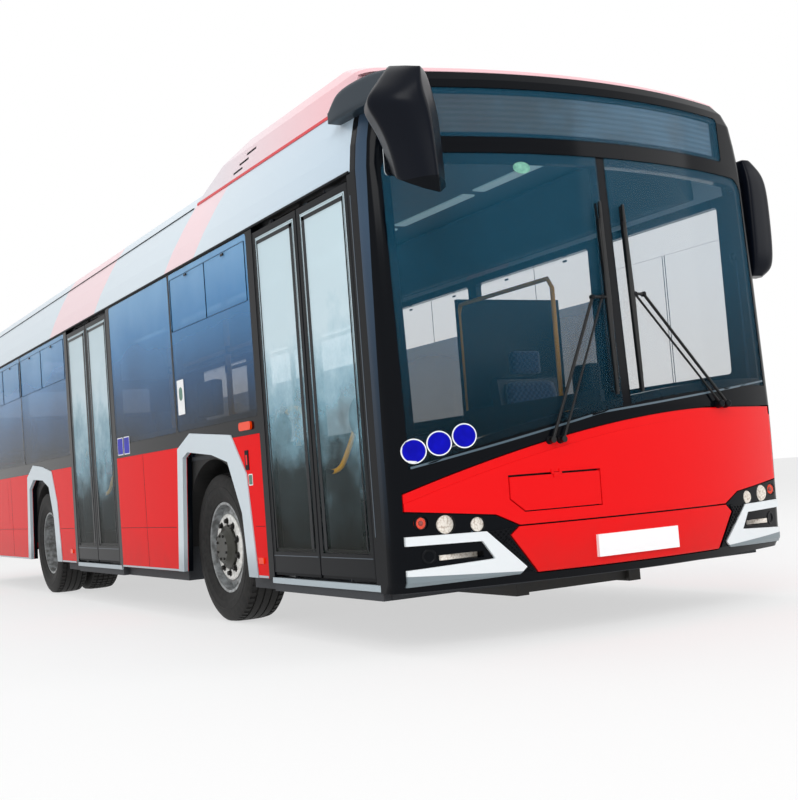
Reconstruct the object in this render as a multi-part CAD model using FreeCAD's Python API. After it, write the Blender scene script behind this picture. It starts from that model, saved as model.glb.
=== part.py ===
import FreeCAD, Part
import math
import os
from FreeCAD import Vector

# City bus, in millimetres. X runs across with the driver's side at +X and the door side at -X,
# Y runs rearward from the nose, and Z is up from the ground under the middle of the bus.
# Stations written "s" are distances behind the foremost point of the nose.

# Overall body
LENGTH = 10550.0
WIDTH = 2550.0
WHEELBASE = 4450.0
FRONT_OVERHANG = 2700.0
SKIRT_Z = 320.0
WAIST_Z = 1160.0
BAND_Z = 2355.0
EAVES_Z = 2720.0
ROOF_Z = 2850.0
EAVES_TUCK = 75.0
WALL = 60.0
SHUT_LINE = 6.0
SEAT_GAP = 0.3

# Nose and tail in plan
NOSE_RADIUS = 3450.0
NOSE_CORNER = 120.0
NOSE_DEPTH = 420.0
TAIL_RADIUS = 6500.0
TAIL_CORNER = 130.0
TAIL_DEPTH = 360.0

# Mirrors
MIRROR_REACH = 1500.0
MIRROR_FORWARD = 330.0

# Doors
DOOR_WIDTH = 1300.0
DOOR_JAMB = 40.0
DOOR2_S = 4640.0
LEAF_THICK = 40.0
LEAF_MID_GAP = 14.0
LEAF_Z = 360.0
LEAF_TOP_Z = 2316.0
LEAF_FRAME = 55.0
LEAF_SILL = 135.0
JAMB_COVER = 37.0
JAMB_GAP = 8.0
POST_U = 22.0
POST_R = 15.0
POST_GAP = 5.0
DOOR_ARM = 290.0
ARM_THICK = 16.0
ARM_WIDE = 20.0
ARM_GAP = 8.0
DOOR_PIN_R = 8.0

# Running gear
TYRE_R = 479.0
TYRE_W = 276.0
RIM_R = 286.0
RIM_W = 210.0
FLANGE = 12.0
FRONT_TRACK_X = 1050.0
KINGPIN_X = 930.0
TWIN_OUTER_X = 1095.0
TWIN_INNER_X = 785.0
STUD_CIRCLE_R = 167.5
STUD_COUNT = 10
STUD_R = 16.0
HUB_R = 138.0
STUB_R = 40.0
PIN_CLEAR = 0.3
WHEELBOX_X = 500.0
WHEELBOX_HALF = 585.0
WHEELBOX_Z = 1060.0

# Floor
FLOOR_Z = 330.0
FLOOR_THICK = 80.0
STEP_S = 6420.0
REAR_FLOOR_Z = 560.0
ENGINE_DECK_S = 8750.0
ENGINE_DECK_Z = 1020.0
BOX_SHELL = 25.0

HALF = WIDTH / 2
TOTAL_LENGTH = LENGTH + MIRROR_FORWARD
NOSE_Y = MIRROR_FORWARD - TOTAL_LENGTH / 2
TAIL_Y = NOSE_Y + LENGTH
FRONT_AXLE_S = FRONT_OVERHANG
REAR_AXLE_S = FRONT_OVERHANG + WHEELBASE
AXLE_Z = TYRE_R
TAIL_S = LENGTH - TAIL_DEPTH
DOOR1_S = NOSE_DEPTH
DOOR1_END_S = DOOR1_S + DOOR_WIDTH
DOOR2_END_S = DOOR2_S + DOOR_WIDTH
FAR = 3000.0


def at(s):
    """Y of a station s behind the nose."""
    return NOSE_Y + s


# Shared forms

def box(x0, x1, s0, s1, z0, z1):
    """Straight block between two corners, with its length given in stations."""
    low = Vector(min(x0, x1), at(min(s0, s1)), min(z0, z1))
    return Part.makeBox(abs(x1 - x0), abs(s1 - s0), abs(z1 - z0), low)


def corner_wire(points, radius):
    """Closed wire through 3D points, with every corner rounded by the same radius."""
    edges = []
    starts = []
    ends = []
    mids = []
    count = len(points)
    for i, corner in enumerate(points):
        back = (points[i - 1] - corner).normalize()
        ahead = (points[(i + 1) % count] - corner).normalize()
        half = back.getAngle(ahead) / 2
        run = radius / math.tan(half)
        inward = (back + ahead).normalize()
        centre = corner + inward * (radius / math.sin(half))
        starts.append(corner + back * run)
        ends.append(corner + ahead * run)
        mids.append(centre - inward * radius)
    for i in range(count):
        if radius > 0:
            edges.append(Part.Arc(starts[i], mids[i], ends[i]).toShape())
        edges.append(Part.LineSegment(ends[i], starts[(i + 1) % count]).toShape())
    return Part.Wire(edges)


def prism_x(points, x0, x1, radius=0.0):
    """Outline in (station, z) pushed across the bus from x0 to x1."""
    corners = [Vector(x0, at(s), z) for s, z in points]
    face = Part.Face(corner_wire(corners, radius))
    return face.extrude(Vector(x1 - x0, 0, 0))


def prism_y(points, s0, s1, radius=0.0):
    """Outline in (x, z) pushed along the bus from station s0 to s1."""
    corners = [Vector(x, at(s0), z) for x, z in points]
    face = Part.Face(corner_wire(corners, radius))
    return face.extrude(Vector(0, s1 - s0, 0))


def prism_z(points, z0, z1, radius=0.0):
    """Outline in (x, station) pushed upwards from z0 to z1."""
    corners = [Vector(x, at(s), z0) for x, s in points]
    face = Part.Face(corner_wire(corners, radius))
    return face.extrude(Vector(0, 0, z1 - z0))


def grow(points, distance):
    """Outline with each edge moved outwards by distance, for a convex or simple outline."""
    count = len(points)
    turn = sum(points[i][0] * points[(i + 1) % count][1] - points[(i + 1) % count][0] * points[i][1]
               for i in range(count))
    side = 1.0 if turn > 0 else -1.0
    moved = []
    for i in range(count):
        ax, az = points[i]
        bx, bz = points[(i + 1) % count]
        length = math.hypot(bx - ax, bz - az)
        nx = side * (bz - az) / length
        nz = -side * (bx - ax) / length
        moved.append(((ax + nx * distance, az + nz * distance), (bx - ax, bz - az)))
    grown = []
    for i in range(count):
        (px, pz), (dx, dz) = moved[i - 1]
        (qx, qz), (ex, ez) = moved[i]
        cross = dx * ez - dz * ex
        along = ((qx - px) * ez - (qz - pz) * ex) / cross
        grown.append((px + dx * along, pz + dz * along))
    return grown


def tube_z(x, s, z0, z1, radius, bore=0.0):
    """Upright round bar, with an optional bore."""
    bar = Part.makeCylinder(radius, z1 - z0, Vector(x, at(s), z0))
    if bore:
        bar = bar.cut(Part.makeCylinder(bore, z1 - z0, Vector(x, at(s), z0)))
    return bar


def bar_x(x0, x1, s, z, radius):
    """Round bar across the bus."""
    return Part.makeCylinder(radius, abs(x1 - x0), Vector(min(x0, x1), at(s), z), Vector(1, 0, 0))


def rod(start, end, radius):
    """Round bar between two points."""
    return Part.makeCylinder(radius, (end - start).Length, start, end - start)


def mirrored(shape):
    """The same piece on the other side of the bus."""
    return shape.mirror(Vector(0, 0, 0), Vector(1, 0, 0))


def joined(shapes):
    """One solid from pieces that meet."""
    whole = shapes[0]
    for shape in shapes[1:]:
        whole = whole.fuse(shape)
    return whole.removeSplitter()


def save(node, shapes):
    """One STEP file for a node, from its solids."""
    solids = [solid for shape in shapes for solid in shape.Solids]
    Part.makeCompound(solids).exportStep("parts/" + node + ".step")


os.makedirs("parts", exist_ok=True)


# Body envelope

def half_at(z):
    """Half width of the body side at a height up to the eaves."""
    rise = max(0.0, (z - BAND_Z) / (EAVES_Z - BAND_Z))
    return HALF - EAVES_TUCK * rise ** 1.6


SHOULDER_ZS = [BAND_Z + (EAVES_Z - BAND_Z) * part for part in (0.0, 0.35, 0.7, 1.0)]
ROOF_EDGE = [(35.0, 70.0), (100.0, 115.0), (170.0, ROOF_Z - EAVES_Z)]
SIDE_PROFILE = [(half_at(z), z) for z in SHOULDER_ZS]
SIDE_PROFILE += [(half_at(EAVES_Z) - tuck, EAVES_Z + rise) for tuck, rise in ROOF_EDGE]

BUMPER_SETBACK = 50.0
BUMPER_LIP_SETBACK = 18.0
BUMPER_TOP_SETBACK = 8.0
NOSE_BULGE_Z = 950.0
GLASS_FOOT_Z = 1110.0
EAVES_SETBACK = 62.0
BAND_SETBACK = 48.0


def nose_setback(z):
    """How far the middle of the nose lies behind its foremost point at a height."""
    stations = [(SKIRT_Z - 30, BUMPER_SETBACK), (SKIRT_Z + 20, BUMPER_LIP_SETBACK),
                (570.0, BUMPER_TOP_SETBACK), (NOSE_BULGE_Z, 0.0), (GLASS_FOOT_Z, 0.0),
                (BAND_Z, BAND_SETBACK), (EAVES_Z, EAVES_SETBACK)]
    for (z0, a), (z1, b) in zip(stations, stations[1:]):
        if z <= z1:
            return a + (b - a) * (z - z0) / (z1 - z0)
    return EAVES_SETBACK


def nose_sections():
    """Heights of the nose with the setback and half width there."""
    rows = [(z, nose_setback(z), HALF)
            for z in (SKIRT_Z - 30, SKIRT_Z + 20, 570.0, NOSE_BULGE_Z, GLASS_FOOT_Z)]
    rows += [(z, nose_setback(z), half_at(z)) for z in SHOULDER_ZS]
    setbacks = (EAVES_SETBACK + 22, EAVES_SETBACK + 50, EAVES_SETBACK + 85)
    for (tuck, rise), setback in zip(ROOF_EDGE, setbacks):
        rows.append((EAVES_Z + rise, setback, half_at(EAVES_Z) - tuck))
    return rows


def tail_sections():
    """Heights of the tail with the setback and half width there."""
    rows = [(SKIRT_Z, 30.0, HALF), (SKIRT_Z + 60, 0.0, HALF), (1450.0, 0.0, HALF)]
    rows += [(z, 8.0 + 40.0 * (z - BAND_Z) / (EAVES_Z - BAND_Z), half_at(z)) for z in SHOULDER_ZS]
    for (tuck, rise), setback in zip(ROOF_EDGE, (65.0, 95.0, 135.0)):
        rows.append((EAVES_Z + rise, setback, half_at(EAVES_Z) - tuck))
    return rows


def plan_wire(z, setback, half, offset, radius, corner, depth, place):
    """Plan outline of an end of the body: a long front arc, two corner arcs and straight sides."""
    centre = setback + radius
    corner_x = half - corner
    corner_d = centre - math.sqrt((radius - corner) ** 2 - corner_x ** 2)
    angle = math.atan2(centre - corner_d, corner_x)
    tight = corner - offset

    def spot(x, d):
        return Vector(x, place(d), z)

    def on_corner(turn, side):
        return spot(side * (corner_x + tight * math.cos(turn)), corner_d - tight * math.sin(turn))

    side_x = half - offset
    edges = [Part.LineSegment(spot(side_x, depth), spot(side_x, corner_d)).toShape(),
             Part.Arc(spot(side_x, corner_d), on_corner(angle / 2, 1), on_corner(angle, 1)).toShape(),
             Part.Arc(on_corner(angle, 1), spot(0, setback + offset), on_corner(angle, -1)).toShape(),
             Part.Arc(on_corner(angle, -1), on_corner(angle / 2, -1), spot(-side_x, corner_d)).toShape(),
             Part.LineSegment(spot(-side_x, corner_d), spot(-side_x, depth)).toShape(),
             Part.LineSegment(spot(-side_x, depth), spot(side_x, depth)).toShape()]
    return Part.Wire(edges)


def end_solid(sections, offset, radius, corner, depth, place, drop=0.0):
    """The filled end of the body, its skin moved inwards by offset."""
    wires = []
    for i, (z, setback, half) in enumerate(sections):
        level = z - offset if z > EAVES_Z else z
        if i == 0:
            level -= drop
        wires.append(plan_wire(level, setback, half, offset, radius, corner, depth, place))
    return Part.makeLoft(wires, True, True)


def nose(offset, drop=0.0, extra=0.0):
    """Filled nose with its skin moved inwards by offset."""
    return end_solid(nose_sections(), offset, NOSE_RADIUS, NOSE_CORNER, NOSE_DEPTH + extra,
                     lambda d: NOSE_Y + d, drop)


def tail(offset, drop=0.0, extra=0.0):
    """Filled tail with its skin moved inwards by offset."""
    return end_solid(tail_sections(), offset, TAIL_RADIUS, TAIL_CORNER, TAIL_DEPTH + extra,
                     lambda d: TAIL_Y - d, drop)


def nose_s(x, z):
    """Station of the nose skin at a place across and up, inside its corner arcs."""
    return nose_setback(z) + NOSE_RADIUS - math.sqrt(NOSE_RADIUS ** 2 - x ** 2)


# Nose: black mask, glass, red panels, trims and lamps

SKIN_LAYER = 30.0
GLASS_REBATE = 12.0
GLASS_THICK = 8.0
SCREEN_HALF = 1190.0
SCREEN_TOP_Z = 2410.0
SCREEN_DRIVER_Z = 1204.0
SCREEN_MID_X = -170.0
SCREEN_MID_Z = 1092.0
SCREEN_DOOR_Z = 872.0
SCREEN_REST = 45.0
DIVIDER = 64.0
SIGN_LOW_Z = 2490.0
SIGN_TOP_Z = 2745.0
SIGN_HALF = 1010.0
PANEL_EDGE = 1220.0


def screen_prism(margin, radius, x_low=-FAR, x_high=FAR):
    """Space of the windscreen, in or out by a margin, along the bus."""
    left = Vector(SCREEN_HALF + margin, at(-FAR), SCREEN_DRIVER_Z - margin)
    mid = Vector(SCREEN_MID_X, at(-FAR), SCREEN_MID_Z - margin)
    right = Vector(-SCREEN_HALF - margin, at(-FAR), SCREEN_DOOR_Z - margin)
    top_l = Vector(SCREEN_HALF + margin, at(-FAR), SCREEN_TOP_Z + margin)
    top_r = Vector(-SCREEN_HALF - margin, at(-FAR), SCREEN_TOP_Z + margin)
    edges = [Part.Arc(right, mid, left).toShape(),
             Part.LineSegment(left, top_l - Vector(0, 0, radius)).toShape(),
             Part.Arc(top_l - Vector(0, 0, radius),
                      top_l - Vector(radius, 0, radius) * (1 - math.sqrt(0.5)),
                      top_l - Vector(radius, 0, 0)).toShape(),
             Part.LineSegment(top_l - Vector(radius, 0, 0), top_r + Vector(radius, 0, 0)).toShape(),
             Part.Arc(top_r + Vector(radius, 0, 0),
                      top_r + Vector(radius, 0, -radius) * (1 - math.sqrt(0.5)),
                      top_r - Vector(0, 0, radius)).toShape(),
             Part.LineSegment(top_r - Vector(0, 0, radius), right).toShape()]
    solid = Part.Face(Part.Wire(edges)).extrude(Vector(0, FAR + NOSE_DEPTH - SEAT_GAP, 0))
    return solid.common(box(x_low, x_high, -FAR, NOSE_DEPTH, 0, FAR))


def panel_prism(margin):
    """Space of the upper red panel, whose top edge dips towards the door side."""
    lower = [(PANEL_EDGE, 676.0), (790.0, 628.0), (672.0, 569.0),
             (-672.0, 569.0), (-790.0, 628.0), (-PANEL_EDGE, 676.0)]
    upper = [(-PANEL_EDGE, 757.0), (-426.0, 976.0), (537.0, 1087.0), (PANEL_EDGE, 1086.0)]
    pts = grow(lower + [upper[0], upper[2], upper[3]], margin)
    low = [Vector(x, at(-FAR), z) for x, z in pts]
    mid = Vector(upper[1][0], at(-FAR), upper[1][1] + margin)
    edges = [Part.LineSegment(low[i], low[i + 1]).toShape() for i in range(6)]
    edges.append(Part.Arc(low[6], mid, low[7]).toShape())
    edges.append(Part.LineSegment(low[7], low[8]).toShape())
    edges.append(Part.LineSegment(low[8], low[0]).toShape())
    return Part.Face(Part.Wire(edges)).extrude(Vector(0, FAR + 330, 0))


PANEL_BEVEL = 45.0
PANEL_STEP = 6.0


def above_bevel():
    """Space above the line that runs below the top edge of the upper panel."""
    left = Vector(PANEL_EDGE + 60, at(-FAR), 1086.0 - PANEL_BEVEL)
    knee = Vector(537.0, at(-FAR), 1087.0 - PANEL_BEVEL)
    mid = Vector(-426.0, at(-FAR), 976.0 - PANEL_BEVEL)
    right = Vector(-PANEL_EDGE, at(-FAR), 757.0 - PANEL_BEVEL)
    far_right = right - Vector(60, 0, 0)
    top_right = Vector(far_right.x, far_right.y, 1200.0)
    top_left = Vector(left.x, left.y, 1200.0)
    edges = [Part.LineSegment(left, knee).toShape(), Part.Arc(knee, mid, right).toShape()]
    for a, b in ((right, far_right), (far_right, top_right), (top_right, top_left), (top_left, left)):
        edges.append(Part.LineSegment(a, b).toShape())
    return Part.Face(Part.Wire(edges)).extrude(Vector(0, FAR + 330, 0))


BUMPER_POINTS = [(676.0, 561.0), (722.0, 523.0), (590.0, 334.0),
                 (-590.0, 334.0), (-722.0, 523.0), (-676.0, 561.0)]
FLAP_POINTS = [(-712.0, 800.0), (-712.0, 696.0), (-640.0, 634.0), (-215.0, 634.0), (-215.0, 800.0)]
TRIM_POINTS = [(1226.0, 556.0), (848.0, 552.0), (655.0, 366.0), (690.0, 333.0), (1226.0, 318.0),
               (1226.0, 398.0), (812.0, 420.0), (870.0, 508.0), (1226.0, 512.0)]
SIGN_POINTS = [(SIGN_HALF, SIGN_TOP_Z), (SIGN_HALF, SIGN_LOW_Z), (-SIGN_HALF, SIGN_LOW_Z),
               (-SIGN_HALF, SIGN_TOP_Z)]
TRIM_PROUD = 10.0
LAMPS_FRONT = [(1150.0, 616.0, 32.0), (1036.0, 601.0, 44.0), (884.0, 589.0, 34.0)]
LAMP_DEPTH = 26.0
FLAP_TOP_GAP = 10.0
FLAP_HINGE_X = (FLAP_POINTS[0][0] + FLAP_POINTS[-1][0]) / 2
FLAP_AXIS_S = 30.0
FLAP_AXIS_Z = FLAP_POINTS[0][1] + 4.0
FLAP_BARREL_R = 4.0
FLAP_TURN = math.degrees(math.atan2(FLAP_HINGE_X, math.sqrt(NOSE_RADIUS ** 2 - FLAP_HINGE_X ** 2)))
PLATE_W = 520.0
PLATE_H = 110.0
PLATE_Z = 430.0
PLATE_THICK = 10.0
DRL_LOW = (866.0, 434.0)
DRL_HIGH = (1074.0, 458.0)


def hinged(lid, frame, centre, radius, outward, turn=0.0):
    """Adds a barrel hinge: the lid's barrel turns on a pin that two barrels of the frame hold.
    The pin lies across the bus, turned in plan by an angle in degrees."""
    half = radius * 4
    arm = radius * 5
    pin = radius / 2

    def turned_in_plan(shape):
        shape.rotate(centre, Vector(0, 0, 1), turn)
        return shape

    def barrel(x0, x1, r=radius):
        return turned_in_plan(Part.makeCylinder(r, x1 - x0, centre + Vector(x0, 0, 0), Vector(1, 0, 0)))

    def strap(x0, x1, up):
        low = centre + Vector(x0, -radius * 0.6, 0 if up > 0 else -arm)
        deep = radius * 2.5
        if outward > 0:
            low = low + Vector(0, radius * 1.2 - deep, 0)
        return turned_in_plan(Part.makeBox(x1 - x0, deep, arm, low))

    bore = barrel(-half * 2, half * 2, pin + PIN_CLEAR)
    lid = lid.fuse(barrel(-half, half)).fuse(strap(-half, half, -1)).cut(bore)
    for side in (-1, 1):
        x0 = side * (half + SEAT_GAP)
        x1 = side * half * 1.8
        x0, x1 = min(x0, x1), max(x0, x1)
        frame = frame.fuse(barrel(x0, x1)).fuse(strap(x0, x1, 1))
    frame = frame.fuse(barrel(-half * 1.7, half * 1.7, pin))
    return lid.removeSplitter(), frame.removeSplitter()


outer = nose(0)
under_skin = nose(SKIN_LAYER)
under_glass = nose(GLASS_REBATE)
skin_ring = outer.cut(under_skin)
recess_ring = nose(-5, extra=5).cut(nose(SKIN_LAYER + SEAT_GAP, extra=5))

mask = outer.cut(nose(WALL, drop=10, extra=10))
mask = mask.fuse(box(-HALF, -HALF + LEAF_THICK, NOSE_DEPTH, NOSE_DEPTH + JAMB_COVER, FLOOR_Z + SEAT_GAP,
                     BAND_Z))
mask = mask.cut(screen_prism(0, 90).cut(under_glass))
mask = mask.cut(screen_prism(-SCREEN_REST, 50, DIVIDER / 2))
mask = mask.cut(screen_prism(-SCREEN_REST, 50, -FAR, -DIVIDER / 2))
sign_space = prism_y(SIGN_POINTS, -FAR, 300, 20)
mask = mask.cut(sign_space.cut(under_glass))
mask = mask.cut(prism_y(grow(SIGN_POINTS, -25), -FAR, 300, 12))
mask = mask.cut(panel_prism(SHUT_LINE).common(recess_ring))
mask = mask.cut(prism_y(grow(BUMPER_POINTS, SHUT_LINE), -FAR, 330).common(recess_ring))
trim_recess = nose(-5, extra=5).cut(nose(14 + SEAT_GAP, extra=5))
trim_space = prism_y(grow(TRIM_POINTS, 3), -FAR, 360)
mask = mask.cut(trim_space.common(trim_recess))
mask = mask.cut(mirrored(trim_space).common(trim_recess))
lamp_parts = []
for lamp_x, lamp_z, lamp_r in LAMPS_FRONT:
    front = nose_s(lamp_x, lamp_z)
    hole = Part.makeCylinder(lamp_r + 2, 200, Vector(lamp_x, at(front + LAMP_DEPTH - 200), lamp_z),
                             Vector(0, 1, 0))
    mask = mask.cut(hole).cut(mirrored(hole))
    lens = Part.makeCylinder(lamp_r, LAMP_DEPTH - SEAT_GAP - 4, Vector(lamp_x, at(front + 4), lamp_z),
                             Vector(0, 1, 0))
    lamp_parts += [lens, mirrored(lens)]
drl_front = nose_s(DRL_HIGH[0], DRL_LOW[1])
drl = box(DRL_LOW[0], DRL_HIGH[0], drl_front - 8, drl_front + 30, DRL_LOW[1], DRL_HIGH[1])
drl_hole = box(DRL_LOW[0] - 3, DRL_HIGH[0] + 3, drl_front - FAR, drl_front + 30 + SEAT_GAP,
               DRL_LOW[1] - 3, DRL_HIGH[1] + 3)
mask = mask.cut(drl_hole).cut(mirrored(drl_hole))
lamp_parts += [drl, mirrored(drl)]

panel = panel_prism(0).common(skin_ring)
panel = panel.cut(above_bevel().common(nose(-5, extra=5).cut(nose(PANEL_STEP))))
bumper = prism_y(BUMPER_POINTS, -FAR, 330).common(skin_ring)
flap_space = prism_y(grow(FLAP_POINTS, SHUT_LINE), -FAR, 330)
flap_space = flap_space.fuse(prism_y([(x, z + FLAP_TOP_GAP - SHUT_LINE) for x, z in
                                      grow(FLAP_POINTS, SHUT_LINE)], -FAR, 330))
panel = panel.cut(flap_space)
flap = prism_y(FLAP_POINTS, -FAR, 330).common(outer.cut(nose(SKIN_LAYER - 5)))
flap, panel = hinged(flap, panel, Vector(FLAP_HINGE_X, at(FLAP_AXIS_S), FLAP_AXIS_Z), FLAP_BARREL_R, -1,
                     FLAP_TURN)
glass_ring = nose(3).cut(nose(3 + GLASS_THICK + 0.7))
left_pane = screen_prism(-3, 87, DIVIDER / 2 - 2).common(glass_ring)
right_pane = screen_prism(-3, 87, -FAR, 2 - DIVIDER / 2).common(glass_ring)
sign_pane = prism_y(grow(SIGN_POINTS, -3), -FAR, 300, 18).common(glass_ring)
trim_ring = nose(-TRIM_PROUD).cut(nose(14))
trim = prism_y(TRIM_POINTS, -FAR, 360).common(trim_ring)
plate_face = nose_s(0, PLATE_Z) - PLATE_THICK
plate = box(-PLATE_W / 2, PLATE_W / 2, plate_face, plate_face + 60, PLATE_Z - PLATE_H / 2, PLATE_Z + PLATE_H / 2)
plate = plate.cut(nose(-SEAT_GAP))

save("front_mask", [mask])
save("front_panel", [panel, bumper])
save("front_flap", [flap])
glass_parts = [left_pane, right_pane, sign_pane]
trim_parts = [trim, mirrored(trim), plate]


# Side walls, skirts, arch trims and glass

ARCH_FRONT = 659.0
ARCH_REAR = 500.0
REAR_ARCH_HALF = 530.0
ARCH_TRIM_Z = 1240.0
PANE_DEPTH = 8.0
PANE_THICK = 6.7
PANE_REST = 40.0
PANE_GAP = 3.0
SKIRT_THICK = 25.0
TRIM_BACK = 22.0
TRIM_OUT = 6.0


def front_arch(inner):
    """Outline of the front wheel arch as (station, z), the opening or its trim's outer edge."""
    c = FRONT_AXLE_S
    if inner:
        return [(c - ARCH_FRONT, SKIRT_Z - 50), (c - 607, 700.0), (c - 422, 1018.0), (c - 160, 1076.0),
                (c + 280, 1118.0), (c + 380, 1085.0), (c + ARCH_REAR, SKIRT_Z - 50)]
    return [(c - 790, SKIRT_Z), (c - 712, 930.0), (c - 500, 1180.0), (c + 220, ARCH_TRIM_Z),
            (c + 475, 1150.0), (c + 598, SKIRT_Z)]


def rear_arch(inner):
    """Outline of the rear wheel arch as (station, z), the opening or its trim's outer edge."""
    c = REAR_AXLE_S
    h = REAR_ARCH_HALF
    if inner:
        return [(c - h, SKIRT_Z - 50), (c - h + 55, 720.0), (c - h + 190, 1010.0), (c - 120, 1080.0),
                (c + 250, 1100.0), (c + h - 90, 1010.0), (c + h, SKIRT_Z - 50)]
    return [(c - h - 160, SKIRT_Z), (c - h - 90, 860.0), (c - h + 60, 1150.0), (c - 120, 1210.0),
            (c + 240, ARCH_TRIM_Z), (c + h - 20, 1130.0), (c + h + 110, SKIRT_Z)]


WINDOW_LOW_Z = 1262.0
WINDOW_TOP_Z = BAND_Z - 12.0
BAY_GAP = 30.0
JAMB_MARGIN = DOOR_JAMB + 12.0
PILLAR_FRONT_S = FRONT_AXLE_S + 455.0
PILLAR_REAR_S = REAR_AXLE_S + 590.0
LAST_BAY_S = TAIL_S - 860.0
right_bays = [(DOOR1_END_S + JAMB_MARGIN, PILLAR_FRONT_S), (PILLAR_FRONT_S + BAY_GAP, DOOR2_S - JAMB_MARGIN),
              (DOOR2_END_S + JAMB_MARGIN, PILLAR_REAR_S), (PILLAR_REAR_S + BAY_GAP, LAST_BAY_S)]
left_pillars = [DOOR1_S - 10, DOOR1_END_S - 80, PILLAR_FRONT_S, DOOR2_S - 40, DOOR2_END_S + 100,
                PILLAR_REAR_S, LAST_BAY_S]
left_bays = [(start + BAY_GAP, end) for start, end in zip(left_pillars, left_pillars[1:])]


def bay_cuts(s0, s1):
    """The rebate and the opening for one flush side window, and its pane, on the driver's side."""
    ring = [(s0, WINDOW_LOW_Z), (s0, WINDOW_TOP_Z), (s1, WINDOW_TOP_Z), (s1, WINDOW_LOW_Z)]
    rebate = prism_x(ring, HALF - PANE_DEPTH, HALF + 5, 25)
    opening = prism_x(grow(ring, -PANE_REST), HALF - WALL - 5, HALF + 5, 25)
    pane = prism_x(grow(ring, -PANE_GAP), HALF - PANE_DEPTH + SEAT_GAP,
                   HALF - PANE_DEPTH + SEAT_GAP + PANE_THICK, 22)
    return rebate, opening, pane


def skirt_box(s0, s1, depth):
    """Block of the red skirt between two stations."""
    return box(HALF - depth, HALF, s0, s1, SKIRT_Z, WAIST_Z)


def wall_segment(s0, s1, bays, arches, skirts):
    """One stretch of side wall on the driver's side, with its windows, arches and recesses."""
    wall = box(HALF - WALL, HALF, s0, s1, SKIRT_Z, BAND_Z)
    panes = []
    panels = []
    trims = []
    for bay in bays:
        rebate, opening, pane = bay_cuts(*bay)
        wall = wall.cut(rebate).cut(opening)
        panes.append(pane)
    for lo, hi in skirts:
        wall = wall.cut(box(HALF - SKIRT_THICK - SEAT_GAP, HALF + 5, lo - 1, hi + 1,
                            SKIRT_Z - 5, WAIST_Z + 1))
        panels.append(skirt_box(lo, hi, SKIRT_THICK))
    for arch in arches:
        through = prism_x(arch(True), HALF - WALL - 5, HALF + 20)
        seat = prism_x(grow(arch(False), 3), HALF - TRIM_BACK - SEAT_GAP, HALF + 20)
        trim_body = prism_x(arch(False), HALF - TRIM_BACK, HALF + TRIM_OUT)
        trims.append(trim_body.cut(through))
        wall = wall.cut(seat).cut(through)
        panels = [piece.cut(seat).cut(through) for piece in panels]
    return wall, panes, panels, trims


R0 = DOOR1_END_S
R1 = DOOR2_S
right_a = wall_segment(R0, R1, right_bays[:2], [front_arch],
                       [(R0 + DOOR_JAMB, R1 - DOOR_JAMB)])
right_b = wall_segment(DOOR2_END_S, TAIL_S, right_bays[2:], [rear_arch],
                       [(DOOR2_END_S + DOOR_JAMB, TAIL_S - 2)])
left = wall_segment(NOSE_DEPTH, TAIL_S, left_bays, [front_arch, rear_arch],
                    [(NOSE_DEPTH + 20, TAIL_S - 2)])
covers = [box(-HALF, -HALF + LEAF_THICK, s, s + JAMB_COVER, FLOOR_Z + SEAT_GAP, BAND_Z)
          for s in (DOOR1_END_S - JAMB_COVER, DOOR2_S, DOOR2_END_S - JAMB_COVER)]
save("side_wall_right", [joined([mirrored(right_a[0])] + covers[:2]),
                         joined([mirrored(right_b[0]), covers[2]])])
save("side_wall_left", [left[0]])
save("skirt_panels", [mirrored(p) for p in right_a[2] + right_b[2]] + left[2])
trim_parts += [mirrored(t) for t in right_a[3] + right_b[3]] + left[3]
glass_parts += [mirrored(p) for p in right_a[1] + right_b[1]] + left[1]

SIDE_LAMP = (1860.0, 2040.0, 1190.0, 1240.0)
SIDE_LAMP_OUT = 14.0
REFLECTORS = (1846.0, 6100.0, 9700.0)
REFLECTOR_Z = 420.0
REFLECTOR_HALF = 36.0
s0, s1, z0, z1 = SIDE_LAMP
side_lamps = [prism_x([(s0, z0), (s1, z0), (s1, z1), (s0, z1)], HALF + SEAT_GAP, HALF + SIDE_LAMP_OUT, 20)]
side_lamps += [prism_x([(s - REFLECTOR_HALF, REFLECTOR_Z - 18), (s + REFLECTOR_HALF, REFLECTOR_Z - 18),
                        (s + REFLECTOR_HALF, REFLECTOR_Z + 18), (s - REFLECTOR_HALF, REFLECTOR_Z + 18)],
                       HALF + SEAT_GAP, HALF + 8, 8) for s in REFLECTORS]
lamp_parts += side_lamps + [mirrored(lamp) for lamp in side_lamps]

SILL_LOW_Z = 296.0
SILL_STRIP = 12.0
for s0 in (DOOR1_S, DOOR2_S):
    trim_parts.append(box(-HALF + 2, -HALF + 2 + SILL_STRIP, s0 + 4, s0 + DOOR_WIDTH - 4,
                          SILL_LOW_Z, FLOOR_Z - 2))
save("trims", trim_parts)


# Inward gliding doors. Each leaf hangs by two pins in its middle plane on the arms of a turning
# post behind the jamb cover, and a roller near its other edge runs in the header track on a line
# through the post. Arm and roller distance are equal, so the leaf turns back twice as fast as the
# arm turns in, and its closing edge slides along the doorway while the leaf ends up square to it.

LEAF_U0 = JAMB_COVER + JAMB_GAP
LEAF_U1 = DOOR_WIDTH / 2 - LEAF_MID_GAP / 2
POST_W = LEAF_THICK + POST_GAP + POST_R
HINGE_W = LEAF_THICK / 2
ARM_REACH = math.sqrt(DOOR_ARM ** 2 - (POST_W - HINGE_W) ** 2)
HINGE_U = POST_U + ARM_REACH
ROLLER_U = POST_U + 2 * ARM_REACH
ROLLER_R = 8.0
TRACK_WALL = 3.0
TRACK_LOW_Z = LEAF_TOP_Z + ARM_GAP + ARM_THICK + 6.0


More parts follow.
